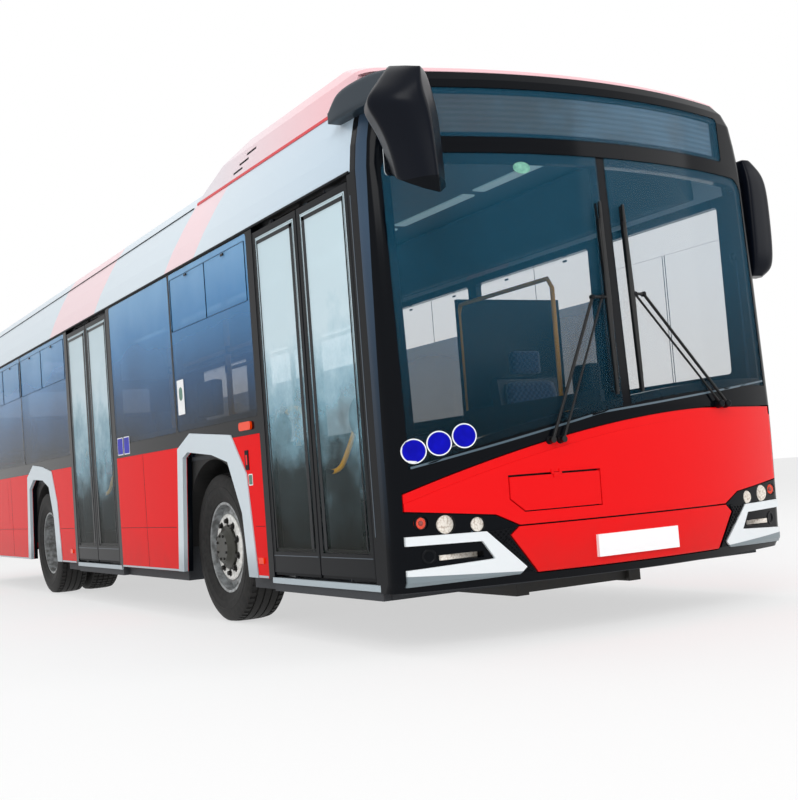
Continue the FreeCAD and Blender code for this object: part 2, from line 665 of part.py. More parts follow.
def door_spot(jamb_s, way):
    """Maps a distance from the jamb and a depth behind the skin onto the door side."""
    return lambda u, w: Vector(-HALF + w, at(jamb_s + way * u), 0)


def door_box(spot, u0, u1, w0, w1, z0, z1):
    """Block in door terms: along the doorway, into the cabin and up."""
    a = spot(u0, w0)
    b = spot(u1, w1)
    low = Vector(min(a.x, b.x), min(a.y, b.y), z0)
    return Part.makeBox(abs(a.x - b.x), abs(a.y - b.y), z1 - z0, low)


def door_bar(spot, u, w, z0, z1, radius):
    """Upright round bar in door terms."""
    return Part.makeCylinder(radius, z1 - z0, spot(u, w) + Vector(0, 0, z0))


def door_track(spot):
    """Two thin rails under the header that guide the roller, hung from a strip."""
    u0 = POST_U + 60
    u1 = ROLLER_U + 20
    near = POST_W - ROLLER_R - 4
    far = POST_W + ROLLER_R + 4
    strip = door_box(spot, u0, u1, near - TRACK_WALL, far + TRACK_WALL, BAND_Z - TRACK_WALL, BAND_Z)
    rails = [door_box(spot, u0, u1, near - TRACK_WALL, near, TRACK_LOW_Z, BAND_Z),
             door_box(spot, u0, u1, far, far + TRACK_WALL, TRACK_LOW_Z, BAND_Z)]
    return joined([strip] + rails)


DOORS = {"front_a": (DOOR1_S, 1), "front_b": (DOOR1_END_S, -1),
         "middle_a": (DOOR2_S, 1), "middle_b": (DOOR2_END_S, -1)}


# Roof shell over the walls and doorways

def roof_profile(offset):
    """Closed (x, z) outline of the roof's cross section, moved inwards by offset."""
    right = [(x - offset, z if z <= EAVES_Z else z - offset) for x, z in SIDE_PROFILE]
    left_side = [(-x, z) for x, z in reversed(right)]
    return right + left_side


roof = prism_y(roof_profile(0), NOSE_DEPTH, TAIL_S).cut(
    prism_y(roof_profile(WALL), NOSE_DEPTH - 5, TAIL_S + 5))
tracks = [door_track(door_spot(*doorway)) for doorway in DOORS.values()]
save("roof_shell", [joined([roof] + tracks)])


# Roof unit: fairing over the front of the roof and two hatches

FAIRING_END_S = 2745.0
FAIRING_BLUNT = 45.0
FAIRING_TOP_Z = 3020.0
FAIRING_FALL = 3.37
FAIRING_LIP = 3.0
FAIRING_SLOT = 150.0
FAIRING_SLOTS = [(1784.0, 2840.0), (1899.0, 2806.0), (1993.0, 2772.0)]
HATCH_STATIONS = (3700.0, 7300.0)
HATCH = 760.0
fairing_foot_z = EAVES_Z + 4.0
fairing_half = half_at(EAVES_Z) + FAIRING_LIP
FAIRING_ROWS = [(fairing_foot_z, EAVES_SETBACK + 4.0, 0.0), (ROOF_Z + 22.0, EAVES_SETBACK + 103.0, 16.0),
                (FAIRING_TOP_Z - 60.0, NOSE_DEPTH + 10.0, 84.0), (FAIRING_TOP_Z, 2 * NOSE_DEPTH + 20.0, 250.0)]


def fairing_form(margin):
    """Outer form of the fairing, grown by a margin: it follows the nose and falls away to the rear."""
    wires = []
    for i, (z, setback, tuck) in enumerate(FAIRING_ROWS):
        level = z + (margin if i else -margin)
        wires.append(plan_wire(level, setback - margin, fairing_half - tuck + margin, 0, NOSE_RADIUS,
                               NOSE_CORNER, FAIRING_END_S, lambda d: NOSE_Y + d))
    form = Part.makeLoft(wires, True, True)
    above = FAIRING_TOP_Z + 50
    fall = (above - fairing_foot_z) * FAIRING_FALL
    form = form.cut(prism_x([(FAIRING_END_S, fairing_foot_z), (FAIRING_END_S + 300, fairing_foot_z),
                             (FAIRING_END_S + 300, above), (FAIRING_END_S - fall, above)], -FAR, FAR))
    return form.cut(box(-FAR, FAR, FAIRING_END_S - FAIRING_BLUNT, FAIRING_END_S + 5, 0, FAR))


fairing = fairing_form(0).cut(box(-FAR, FAR, -FAR, NOSE_DEPTH + SEAT_GAP, 0, ROOF_Z + SEAT_GAP))
fairing = fairing.cut(prism_y(roof_profile(-SEAT_GAP), NOSE_DEPTH - 5, FAIRING_END_S))
for slot_s, slot_z in FAIRING_SLOTS:
    slot = prism_x([(slot_s - FAIRING_SLOT / 2, slot_z - 4), (slot_s + FAIRING_SLOT / 2, slot_z - 10),
                    (slot_s + FAIRING_SLOT / 2, slot_z + 4), (slot_s - FAIRING_SLOT / 2, slot_z + 10)],
                   fairing_half - 34, fairing_half + 5)
    fairing = fairing.cut(slot).cut(mirrored(slot))
roof_tops = [fairing]
for s in HATCH_STATIONS:
    lid = prism_z([(-HATCH / 2, s), (HATCH / 2, s), (HATCH / 2, s + HATCH), (-HATCH / 2, s + HATCH)],
                  ROOF_Z, ROOF_Z + 45, 80)
    roof_tops.append(lid)
save("roof_unit", roof_tops)


# Tail: rear wall, engine lid, window and lamps

LID_HALF = 960.0
LID_LOW_Z = 520.0
LID_TOP_Z = 1420.0
LID_THICK = 40.0
LID_TOP_GAP = 14.0
LID_HINGE_X = 300.0
LID_AXIS_S = LENGTH - 5.0
LID_AXIS_Z = LID_TOP_Z + 6.0
LID_BARREL_R = 5.0
REAR_GLASS_HALF = 1000.0
REAR_GLASS_LOW_Z = 1560.0
REAR_GLASS_TOP_Z = 2290.0
REAR_SIGN_LOW_Z = 2430.0
REAR_SIGN_TOP_Z = 2660.0
REAR_SIGN_HALF = 420.0
GRILLE_LOW_Z = 640.0
GRILLE_TOP_Z = 1060.0
GRILLE_HALF = 700.0
SLAT_PITCH = 42.0
SLAT_GAP = 24.0
REAR_LAMP_X = 1120.0
REAR_LAMP_ZS = (600.0, 740.0, 880.0, 1020.0)
REAR_LAMP_R = 52.0


def rear_block(half, z0, z1, radius=0.0):
    """Space behind the bus across its middle between two heights."""
    pts = [(-half, z0), (half, z0), (half, z1), (-half, z1)]
    return prism_y(pts, TAIL_S + 60, LENGTH + 500, radius)


rear = tail(0).cut(tail(WALL, drop=10, extra=10))
rear = rear.cut(rear_block(LID_HALF + SHUT_LINE, LID_LOW_Z - SHUT_LINE, LID_TOP_Z + LID_TOP_GAP))
tail_glass = tail(GLASS_REBATE)
for half, z0, z1 in ((REAR_GLASS_HALF, REAR_GLASS_LOW_Z, REAR_GLASS_TOP_Z),
                     (REAR_SIGN_HALF, REAR_SIGN_LOW_Z, REAR_SIGN_TOP_Z)):
    rear = rear.cut(rear_block(half, z0, z1, 40).cut(tail_glass))
    rear = rear.cut(rear_block(half - SCREEN_REST, z0 + SCREEN_REST, z1 - SCREEN_REST, 30))
    pane = rear_block(half - 3, z0 + 3, z1 - 3, 37)
    glass_parts.append(pane.common(tail(3).cut(tail(3 + GLASS_THICK + 0.7))))


def tail_d(x):
    """Distance of the tail skin in front of the rearmost point, across the bus."""
    return TAIL_RADIUS - math.sqrt(TAIL_RADIUS ** 2 - x ** 2)


for lamp_z in REAR_LAMP_ZS:
    face_s = LENGTH - tail_d(REAR_LAMP_X)
    hole = Part.makeCylinder(REAR_LAMP_R + 2, 200, Vector(REAR_LAMP_X, at(face_s - LAMP_DEPTH), lamp_z),
                             Vector(0, 1, 0))
    rear = rear.cut(hole).cut(mirrored(hole))
    lens = Part.makeCylinder(REAR_LAMP_R, LAMP_DEPTH - SEAT_GAP - 4,
                             Vector(REAR_LAMP_X, at(face_s - LAMP_DEPTH + SEAT_GAP), lamp_z),
                             Vector(0, 1, 0))
    lamp_parts += [lens, mirrored(lens)]

lid = rear_block(LID_HALF, LID_LOW_Z, LID_TOP_Z).common(tail(0).cut(tail(LID_THICK)))
slot_count = int((GRILLE_TOP_Z - GRILLE_LOW_Z) / SLAT_PITCH)
for i in range(slot_count):
    low = GRILLE_LOW_Z + i * SLAT_PITCH
    lid = lid.cut(box(-GRILLE_HALF, GRILLE_HALF, TAIL_S, LENGTH + 50, low, low + SLAT_GAP))
for side in (-1, 1):
    lid, rear = hinged(lid, rear, Vector(side * LID_HINGE_X, at(LID_AXIS_S), LID_AXIS_Z), LID_BARREL_R, 1)
save("rear_wall", [rear])
save("engine_lid", [lid])
save("body_glass", glass_parts)
save("lamps", lamp_parts)


# Floor with wheel boxes, steps and engine deck

INSIDE = HALF - WALL - SEAT_GAP
SHEET = 40.0


def wheel_box(axle_s):
    """Space taken by one wheel box on the driver's side."""
    return box(WHEELBOX_X, FAR, axle_s - WHEELBOX_HALF, axle_s + WHEELBOX_HALF, 0, WHEELBOX_Z)


def box_shell(axle_s, low_z):
    """Sheet of one wheel box on the driver's side, open below and to the outside."""
    out = box(WHEELBOX_X - BOX_SHELL, INSIDE, axle_s - WHEELBOX_HALF - BOX_SHELL,
              axle_s + WHEELBOX_HALF + BOX_SHELL, low_z, WHEELBOX_Z + BOX_SHELL)
    return out.cut(wheel_box(axle_s))


def floor_panel(half, s0, s1, low_z, top_z):
    """One flat floor panel, a hair short of its neighbours at both ends."""
    return box(-half, half, s0 + SEAT_GAP / 2, s1 - SEAT_GAP / 2, low_z, top_z)


def door_sill(s0):
    """Edge of the floor that reaches out below a doorway."""
    return box(-HALF + 2 + SILL_STRIP + SEAT_GAP, -INSIDE + 10, s0 + 4, s0 + DOOR_WIDTH - 4, floor_low, FLOOR_Z)


floor_low = FLOOR_Z - FLOOR_THICK
rear_low = REAR_FLOOR_Z - SHEET
deck_end = TAIL_S + 40
riser_s = ENGINE_DECK_S - SHEET
aisle_half = WHEELBOX_X - BOX_SHELL - SEAT_GAP
box_reach = WHEELBOX_HALF + BOX_SHELL
front_box = (FRONT_AXLE_S - box_reach, FRONT_AXLE_S + box_reach)
rear_box = (REAR_AXLE_S - box_reach, REAR_AXLE_S + box_reach)
floor_nose = nose(WALL + SEAT_GAP, drop=10, extra=0).common(
    box(-FAR, FAR, 0, NOSE_DEPTH, floor_low, FLOOR_Z))
entrance = box(-INSIDE, INSIDE, NOSE_DEPTH, front_box[0] - SEAT_GAP / 2, floor_low, FLOOR_Z)
floors = [joined([floor_nose, entrance, door_sill(DOOR1_S)]),
          floor_panel(aisle_half, *front_box, floor_low, FLOOR_Z),
          joined([floor_panel(INSIDE, front_box[1], STEP_S, floor_low, FLOOR_Z), door_sill(DOOR2_S)]),
          joined([floor_panel(INSIDE, STEP_S, STEP_S + SHEET, floor_low, REAR_FLOOR_Z),
                  floor_panel(INSIDE, STEP_S, rear_box[0], rear_low, REAR_FLOOR_Z)]),
          floor_panel(aisle_half, *rear_box, rear_low, REAR_FLOOR_Z),
          floor_panel(INSIDE, rear_box[1], riser_s, rear_low, REAR_FLOOR_Z),
          floor_panel(INSIDE, riser_s, ENGINE_DECK_S, rear_low, ENGINE_DECK_Z),
          floor_panel(INSIDE, ENGINE_DECK_S, deck_end, ENGINE_DECK_Z - SHEET, ENGINE_DECK_Z)]
for axle_s, low_z in ((FRONT_AXLE_S, floor_low), (REAR_AXLE_S, rear_low)):
    shell = box_shell(axle_s, low_z)
    floors += [shell, mirrored(shell)]
save("floor", floors)


# Chassis frame below the floor

RAIL_X = 380.0
RAIL_W = 80.0
RAIL_LOW_Z = 175.0
BEAM_Z0 = 150.0
BEAM_Z1 = 235.0
BEAM_HALF_S = 60.0
BEAM_CLEAR = 40.0
spans = [(520.0, FRONT_AXLE_S - BEAM_HALF_S - BEAM_CLEAR),
         (FRONT_AXLE_S + BEAM_HALF_S + BEAM_CLEAR, REAR_AXLE_S - 160 - BEAM_CLEAR)]
frame_parts = []
for s0, s1 in spans:
    cell = [box(x - RAIL_W / 2, x + RAIL_W / 2, s0, s1, RAIL_LOW_Z, floor_low) for x in (-RAIL_X, RAIL_X)]
    ties = max(2, int((s1 - s0) / 1100))
    for i in range(ties):
        tie_s = s0 + 30 + (s1 - s0 - 120) * i / (ties - 1)
        cell.append(box(-RAIL_X, RAIL_X, tie_s, tie_s + 60, RAIL_LOW_Z + 10, floor_low))
    frame_parts.append(joined(cell))
rear_start = REAR_AXLE_S + 160 + BEAM_CLEAR
cell = [box(x - RAIL_W / 2, x + RAIL_W / 2, rear_start, TAIL_S + 100, 360.0, 440.0)
        for x in (-RAIL_X, RAIL_X)]
cell += [box(x - RAIL_W / 2, x + RAIL_W / 2, ENGINE_DECK_S - SHEET, ENGINE_DECK_S, 440.0,
             REAR_FLOOR_Z - SHEET) for x in (-RAIL_X, RAIL_X)]
cell += [box(x - RAIL_W / 2, x + RAIL_W / 2, rear_start, rear_start + 60, 440.0,
             REAR_FLOOR_Z - SHEET) for x in (-RAIL_X, RAIL_X)]
cell += [box(-RAIL_X, RAIL_X, s, s + 60, 370.0, 430.0)
         for s in (rear_start, ENGINE_DECK_S, TAIL_S)]
frame_parts.append(joined(cell))
save("chassis_frame", frame_parts)
ENGINE_MOUNT_Z = 440.0
engine = box(-430, 430, ENGINE_DECK_S + 120, TAIL_S - 60, ENGINE_MOUNT_Z, ENGINE_DECK_Z - SHEET - 60)
save("engine_block", [engine])


# Axles

BOSS_R = 45.0
BOSS_Z0 = AXLE_Z - 80.0
BOSS_Z1 = AXLE_Z + 80.0
KING_R = 18.0
ARM_Z0 = AXLE_Z - 45.0
ARM_Z1 = AXLE_Z + 45.0
beam_points = [(-720.0, BEAM_Z0), (720.0, BEAM_Z0), (720.0, ARM_Z0), (KINGPIN_X, ARM_Z0),
               (KINGPIN_X, ARM_Z1), (640.0, ARM_Z1), (640.0, BEAM_Z1), (-640.0, BEAM_Z1),
               (-640.0, ARM_Z1), (-KINGPIN_X, ARM_Z1), (-KINGPIN_X, ARM_Z0), (-720.0, ARM_Z0)]
front_beam = prism_y(beam_points, FRONT_AXLE_S - BEAM_HALF_S, FRONT_AXLE_S + BEAM_HALF_S)
for side in (-1, 1):
    x = side * KINGPIN_X
    front_beam = front_beam.cut(box(x - BOSS_R, x + BOSS_R, FRONT_AXLE_S - 70, FRONT_AXLE_S + 70,
                                    ARM_Z0 - 5, ARM_Z1 + 5))
    front_beam = front_beam.fuse(tube_z(x, FRONT_AXLE_S, BOSS_Z0, BOSS_Z1, BOSS_R))
    bridge = box(x - side * BOSS_R, x, FRONT_AXLE_S - 40, FRONT_AXLE_S + 40, ARM_Z0, ARM_Z1)
    front_beam = front_beam.fuse(bridge)
    front_beam = front_beam.cut(tube_z(x, FRONT_AXLE_S, BOSS_Z0 - 5, BOSS_Z1 + 5, KING_R + PIN_CLEAR))
front_beam = front_beam.removeSplitter()

DROP_Z0 = 165.0
DROP_Z1 = 285.0
CASE_X0 = 530.0
CASE_X1 = 620.0
CASE_R = 150.0
REAR_STUB_R = 60.0
FRONT_SPRING_X = 690.0
FRONT_SPRING_R = 80.0
REAR_SPRING_X = 575.0
REAR_SPRING_R = 60.0
housing = [bar_x(-CASE_X1, CASE_X1, REAR_AXLE_S, (DROP_Z0 + DROP_Z1) / 2, (DROP_Z1 - DROP_Z0) / 2)]
for side in (-1, 1):
    housing.append(bar_x(side * CASE_X0, side * CASE_X1, REAR_AXLE_S, AXLE_Z, CASE_R))
    housing.append(bar_x(side * CASE_X0, side * CASE_X1, REAR_AXLE_S, (DROP_Z0 + DROP_Z1) / 2, 85.0))
    housing.append(box(side * CASE_X0, side * CASE_X1, REAR_AXLE_S - 85, REAR_AXLE_S + 85,
                       (DROP_Z0 + DROP_Z1) / 2, AXLE_Z))
    housing.append(bar_x(side * CASE_X1, side * (TWIN_OUTER_X - 110), REAR_AXLE_S, AXLE_Z, REAR_STUB_R))
SPRING_Z = 760.0
for side in (-1, 1):
    x = side * FRONT_SPRING_X
    front_beam = front_beam.fuse(tube_z(x, FRONT_AXLE_S, ARM_Z1, SPRING_Z, FRONT_SPRING_R))
    front_beam = front_beam.fuse(tube_z(x, FRONT_AXLE_S, SPRING_Z, WHEELBOX_Z - SEAT_GAP, 45.0))
    x = side * REAR_SPRING_X
    housing.append(tube_z(x, REAR_AXLE_S, AXLE_Z, SPRING_Z, REAR_SPRING_R))
    housing.append(tube_z(x, REAR_AXLE_S, SPRING_Z, WHEELBOX_Z - SEAT_GAP, 40.0))
save("axles", [front_beam.removeSplitter(), joined(housing)])


# Knuckles, rims and tyres

EAR_GAP = 5.0
EAR_THICK = 30.0
WEB_X0 = KINGPIN_X + BOSS_R + EAR_GAP
WEB_X1 = WEB_X0 + 24.0
STUB_END_X = FRONT_TRACK_X + 95.0


def knuckle():
    """Steering knuckle of the driver's side: kingpin, two ears, web and stub axle."""
    low = BOSS_Z0 - EAR_GAP - EAR_THICK
    high = BOSS_Z1 + EAR_GAP
    parts = [tube_z(KINGPIN_X, FRONT_AXLE_S, low, high + EAR_THICK, KING_R)]
    for z in (low, high):
        parts.append(box(KINGPIN_X, WEB_X1, FRONT_AXLE_S - 40, FRONT_AXLE_S + 40, z, z + EAR_THICK))
        parts.append(tube_z(KINGPIN_X, FRONT_AXLE_S, z, z + EAR_THICK, 40.0))
    parts.append(box(WEB_X0, WEB_X1, FRONT_AXLE_S - 60, FRONT_AXLE_S + 60, low, high + EAR_THICK))
    parts.append(bar_x(WEB_X1 - 5, STUB_END_X, FRONT_AXLE_S, AXLE_Z, STUB_R))
    return joined(parts)


def turned(points, axle_s):
    """Ring turned about an axle from (x, radius) points."""
    corners = [Vector(x, at(axle_s), AXLE_Z + r) for x, r in points]
    wire = Part.makePolygon(corners + [corners[0]])
    return Part.Face(wire).revolve(Vector(0, at(axle_s), AXLE_Z), Vector(1, 0, 0), 360)


def tyre(centre_x, axle_s):
    """Tyre on its bead seats, with a flat tread and rounded shoulders."""
    w = TYRE_W / 2
    bead = RIM_R + SEAT_GAP
    foot = RIM_W / 2 - 12
    lip = RIM_R + FLANGE + 3
    points = [(-foot, bead), (-foot, lip), (-w + 14, lip + 8), (-w, bead + 80), (-w + 6, TYRE_R - 38),
              (-w + 30, TYRE_R - 6), (-w + 62, TYRE_R), (w - 62, TYRE_R), (w - 30, TYRE_R - 6),
              (w - 6, TYRE_R - 38), (w, bead + 80), (w - 14, lip + 8), (foot, lip), (foot, bead)]
    return turned([(centre_x + x, r) for x, r in points], axle_s)


BARREL = 10.0
DISC = 14.0


def rim(centre_x, disc_out, axle_s):
    """Wheel rim of the driver's side with a dished disc whose hub face lies disc_out from the middle."""
    h = RIM_W / 2
    inner_r = RIM_R - BARREL
    face = disc_out
    root = h - 55 if disc_out > 0 else -h + 55
    points = [(-h, RIM_R + FLANGE), (-h, inner_r), (root - DISC, inner_r), (face - DISC, STUD_CIRCLE_R + 45),
              (face - DISC, HUB_R + 2), (face, HUB_R + 2), (face, STUD_CIRCLE_R + 45), (root, inner_r),
              (h, inner_r), (h, RIM_R + FLANGE), (h - 10, RIM_R + FLANGE), (h - 10, RIM_R),
              (-h + 10, RIM_R), (-h + 10, RIM_R + FLANGE)]
    body = turned([(centre_x + x, r) for x, r in points], axle_s)
    for i in range(STUD_COUNT):
        angle = 2 * math.pi * i / STUD_COUNT
        body = body.cut(bar_x(centre_x - h, centre_x + h + 40,
                              axle_s + STUD_CIRCLE_R * math.sin(angle),
                              AXLE_Z + STUD_CIRCLE_R * math.cos(angle), STUD_R))
    return body


def hub(x0, flange_x, x1, bore, axle_s):
    """Hub with a bolt flange, bored for the stub axle and closed by its cap."""
    points = [(x0, bore + PIN_CLEAR), (x0, 175.0), (flange_x - 30, 175.0), (flange_x - 30, 200.0),
              (flange_x, 200.0), (flange_x, HUB_R), (flange_x + 40, HUB_R), (x1 - 25, 118.0),
              (x1, 95.0), (x1, 0.0), (x1 - 12, 0.0), (x1 - 12, bore + PIN_CLEAR)]
    return turned(points, axle_s)


FRONT_DISC = 78.0
front_face = FRONT_TRACK_X + FRONT_DISC
front_rim = joined([rim(FRONT_TRACK_X, FRONT_DISC, FRONT_AXLE_S),
                    hub(WEB_X1 + 5, front_face - DISC, front_face + 62, STUB_R, FRONT_AXLE_S)])
MATE_X = (TWIN_OUTER_X + TWIN_INNER_X) / 2
rear_rim = joined([rim(TWIN_INNER_X, MATE_X - TWIN_INNER_X, REAR_AXLE_S),
                   rim(TWIN_OUTER_X, MATE_X + DISC - TWIN_OUTER_X, REAR_AXLE_S),
                   hub(CASE_X1 + 20, MATE_X - DISC, MATE_X + 150, REAR_STUB_R, REAR_AXLE_S)])
front_tyre = tyre(FRONT_TRACK_X, FRONT_AXLE_S)
rear_tyres = [tyre(TWIN_INNER_X, REAR_AXLE_S), tyre(TWIN_OUTER_X, REAR_AXLE_S)]
left_knuckle = knuckle()
save("knuckle_left", [left_knuckle])
save("knuckle_right", [mirrored(left_knuckle)])
save("rim_front_left", [front_rim])
save("rim_front_right", [mirrored(front_rim)])
save("tyre_front_left", [front_tyre])
save("tyre_front_right", [mirrored(front_tyre)])
save("rim_rear_left", [rear_rim])
save("rim_rear_right", [mirrored(rear_rim)])
save("tyre_rear_left", rear_tyres)
save("tyre_rear_right", [mirrored(t) for t in rear_tyres])


# Door leaves and their arms

LEAF_PANE = 8.0
EYE_R = 15.0
BOSS_U = 185.0
HANDLE_BOSS_Z = 1158.0
HANDLE_BOSS_R = 95.0
HANDLE_BOSS_THICK = 20.0
HANDLE_R = 13.0
HANDLE_OUT = 40.0
HANDLE_LINES = {"a": [(0, 1160.0), (70, 1150.0), (245, 960.0), (310, 915.0), (425, 905.0)],
                "b": [(0, 1215.0), (30, 1268.0), (130, 1275.0), (292, 1192.0), (425, 1130.0)]}


def door_leaf(spot):
    """Leaf frame with its hinge pins and roller, and its glass."""
    frame = door_box(spot, LEAF_U0, LEAF_U1, 2, LEAF_THICK, LEAF_Z, LEAF_TOP_Z)
    glass_u = (LEAF_U0 + LEAF_FRAME, LEAF_U1 - LEAF_FRAME)
    glass_z = (LEAF_Z + LEAF_SILL, LEAF_TOP_Z - LEAF_FRAME)
    frame = frame.cut(door_box(spot, glass_u[0], glass_u[1], -5, LEAF_THICK + 5, *glass_z))
    frame = frame.cut(door_box(spot, glass_u[0] - 20, glass_u[1] + 20, -5, 2 + LEAF_PANE,
                               glass_z[0] - 20, glass_z[1] + 20))
    pin_low = LEAF_Z - ARM_GAP - ARM_THICK - 1
    pin_high = LEAF_TOP_Z + ARM_GAP + ARM_THICK + 2
    parts = [frame,
             door_bar(spot, HINGE_U, HINGE_W, pin_low, LEAF_Z + 10, DOOR_PIN_R),
             door_bar(spot, HINGE_U, HINGE_W, LEAF_TOP_Z - 10, pin_high, DOOR_PIN_R),
             door_box(spot, ROLLER_U - 14, ROLLER_U + 14, LEAF_THICK, POST_W + 10,
                      LEAF_TOP_Z - 24, LEAF_TOP_Z - 4),
             door_bar(spot, ROLLER_U, POST_W, LEAF_TOP_Z - 14, BAND_Z - TRACK_WALL - 3, ROLLER_R)]
    glass = door_box(spot, glass_u[0] - 18, glass_u[1] + 18, 3, 2 + LEAF_PANE - SEAT_GAP,
                     glass_z[0] - 18, glass_z[1] + 18)
    return joined(parts), glass


def leaf_handle(spot, line):
    """Grab bar inside a leaf: a round boss on the jamb side frame and a bent bar to the other frame."""
    inner = LEAF_THICK + SEAT_GAP
    boss = Part.makeCylinder(HANDLE_BOSS_R, HANDLE_BOSS_THICK, spot(BOSS_U, inner) + Vector(0, 0, HANDLE_BOSS_Z),
                             Vector(1, 0, 0))
    depths = [inner + HANDLE_BOSS_THICK / 2] + [LEAF_THICK + HANDLE_OUT] * (len(line) - 2) + [inner + 4]
    places = [spot(BOSS_U + run, depth) + Vector(0, 0, z) for (run, z), depth in zip(line, depths)]
    route = Part.BSplineCurve()
    route.interpolate(places)
    section = Part.Wire(Part.Circle(places[0], route.tangent(route.FirstParameter)[0], HANDLE_R).toShape())
    bar = Part.Wire(route.toShape()).makePipeShell([section], True, False)
    bar = bar.cut(door_box(spot, LEAF_U0, LEAF_U1 + 50, -50, inner, 800, 1400))
    return joined([boss, bar])


def door_arm(spot):
    """Turning post with an arm below the leaf and one above it, whose eyes hold the leaf's pins."""
    parts = [door_bar(spot, POST_U, POST_W, FLOOR_Z + SEAT_GAP, BAND_Z - SEAT_GAP, POST_R)]
    levels = (LEAF_Z - ARM_GAP - ARM_THICK, LEAF_TOP_Z + ARM_GAP)
    start = spot(POST_U, POST_W)
    end = spot(HINGE_U, HINGE_W)
    along = (end - start).normalize()
    side = Vector(-along.y, along.x, 0) * (ARM_WIDE / 2)
    for z in levels:
        lift = Vector(0, 0, z)
        outline = [start + side + lift, end + side + lift, end - side + lift, start - side + lift]
        face = Part.Face(Part.makePolygon(outline + [outline[0]]))
        parts.append(face.extrude(Vector(0, 0, ARM_THICK)))
        parts.append(door_bar(spot, HINGE_U, HINGE_W, z, z + ARM_THICK, EYE_R))
    arm = joined(parts)
    for z in levels:
        arm = arm.cut(door_bar(spot, HINGE_U, HINGE_W, z - 5, z + ARM_THICK + 5,
                               DOOR_PIN_R + PIN_CLEAR))
    return arm


for name, doorway in DOORS.items():
    spot = door_spot(*doorway)
    leaf, glass = door_leaf(spot)
    save("door_leaf_" + name, [leaf, leaf_handle(spot, HANDLE_LINES[name[-1]])])
    save("door_glass_" + name, [glass])
    save("door_arm_" + name, [door_arm(spot)])


# Interior: seats, cab and rails

SEAT_W = 430.0
SEAT_LOW = 420.0
SEAT_BACK = 860.0


def seat(x, s, floor_z):
    """Passenger seat shell facing forward, with its leg, by its left side, front station and floor."""
    low = floor_z + SEAT_LOW
    top = floor_z + SEAT_BACK
    shell = [(s, low), (s, low - 45), (s + 385, low - 70), (s + 430, low - 30), (s + 500, top),
             (s + 465, top + 10), (s + 375, low + 5)]
    cushion = prism_x(shell, x, x + SEAT_W, 12)
    leg = box(x + SEAT_W / 2 - 25, x + SEAT_W / 2 + 25, s + 170, s + 230, floor_z, low - 40)
    return joined([cushion, leg])


WALL_SEAT_X = INSIDE - 30 - SEAT_W
AISLE_SEAT_X = WALL_SEAT_X - SEAT_W - 10
LOW_ROWS = (3420.0, 4180.0, 4940.0, 5700.0)
HIGH_ROW_S = 7860.0
BENCH_S = 9240.0
pair = (WALL_SEAT_X, AISLE_SEAT_X)
other_pair = (-WALL_SEAT_X - SEAT_W, -AISLE_SEAT_X - SEAT_W)
seats = [seat(x, s, FLOOR_Z) for s in LOW_ROWS for x in pair]
seats += [seat(x, LOW_ROWS[0], FLOOR_Z) for x in other_pair]
seats += [seat(x, HIGH_ROW_S, REAR_FLOOR_Z) for x in pair + other_pair]
seats += [seat(x, BENCH_S, ENGINE_DECK_Z) for x in pair + (-SEAT_W / 2,) + other_pair]

CAB_X0 = 330.0
CAB_S1 = 2060.0
DRIVER_X = 690.0
driver_seat = [(1330.0, 800.0), (1330.0, 730.0), (1720.0, 700.0), (1800.0, 740.0), (1900.0, 1430.0),
               (1810.0, 1450.0), (1720.0, 840.0)]
seats.append(joined([prism_x(driver_seat, DRIVER_X - 240, DRIVER_X + 240, 25),
                     box(DRIVER_X - 130, DRIVER_X + 130, 1430, 1680, FLOOR_Z, 740)]))
save("seats", seats)

COLUMN_TILT = 28.0
WHEEL_R = 225.0
WHEEL_CENTRE = Vector(DRIVER_X, at(1010.0), 1080.0)
COLUMN_DIR = Vector(0, math.sin(math.radians(COLUMN_TILT)), math.cos(math.radians(COLUMN_TILT)))
dash_points = [(300.0, FLOOR_Z), (300.0, 900.0), (620.0, 1010.0), (760.0, 980.0), (740.0, 860.0),
               (560.0, 780.0), (480.0, FLOOR_Z)]
dash = prism_x(dash_points, CAB_X0 + 60, 1150.0)
column_foot = WHEEL_CENTRE - COLUMN_DIR * 700
column = rod(column_foot, WHEEL_CENTRE - COLUMN_DIR * (30 + SEAT_GAP), 35)
pedestal = box(DRIVER_X - 60, DRIVER_X + 60, 480, 850, FLOOR_Z, FLOOR_Z + 260)
cab_wall = box(CAB_X0, CAB_X0 + 30, 620, CAB_S1, FLOOR_Z, 1250)
cab_back = box(CAB_X0, INSIDE - 40, CAB_S1 - 30, CAB_S1, FLOOR_Z, 2000)
save("driver_cab", [dash, joined([cab_wall, cab_back]), joined([column, pedestal])])
ring = Part.makeTorus(WHEEL_R, 14, WHEEL_CENTRE, COLUMN_DIR)
spokes = [Part.makeCylinder(55, 30, WHEEL_CENTRE - COLUMN_DIR * 30, COLUMN_DIR)]
across = Vector(1, 0, 0)
down = COLUMN_DIR.cross(across)
for direction in (across, across * -1, down, down * -1):
    spokes.append(rod(WHEEL_CENTRE - COLUMN_DIR * 18, WHEEL_CENTRE + direction * WHEEL_R, 9))
save("steering_wheel", [joined([ring] + spokes)])

POLE_R = 17.0
POLE_X = 285.0
CEILING_Z = ROOF_Z - WALL
poles = []
for x in (-POLE_X, POLE_X):
    for s in (3360.0, 4600.0, 6060.0):
        poles.append(tube_z(x, s, FLOOR_Z + SEAT_GAP, CEILING_Z - SEAT_GAP, POLE_R))
    top = Part.makeCylinder(POLE_R, 2700, Vector(x, at(3360.0), 2000.0), Vector(0, 1, 0))
    poles.append(top)
rails_left = joined(poles[:4])
rails_right = joined(poles[4:])
save("handrails", [rails_left, rails_right])


# Mirrors and wipers

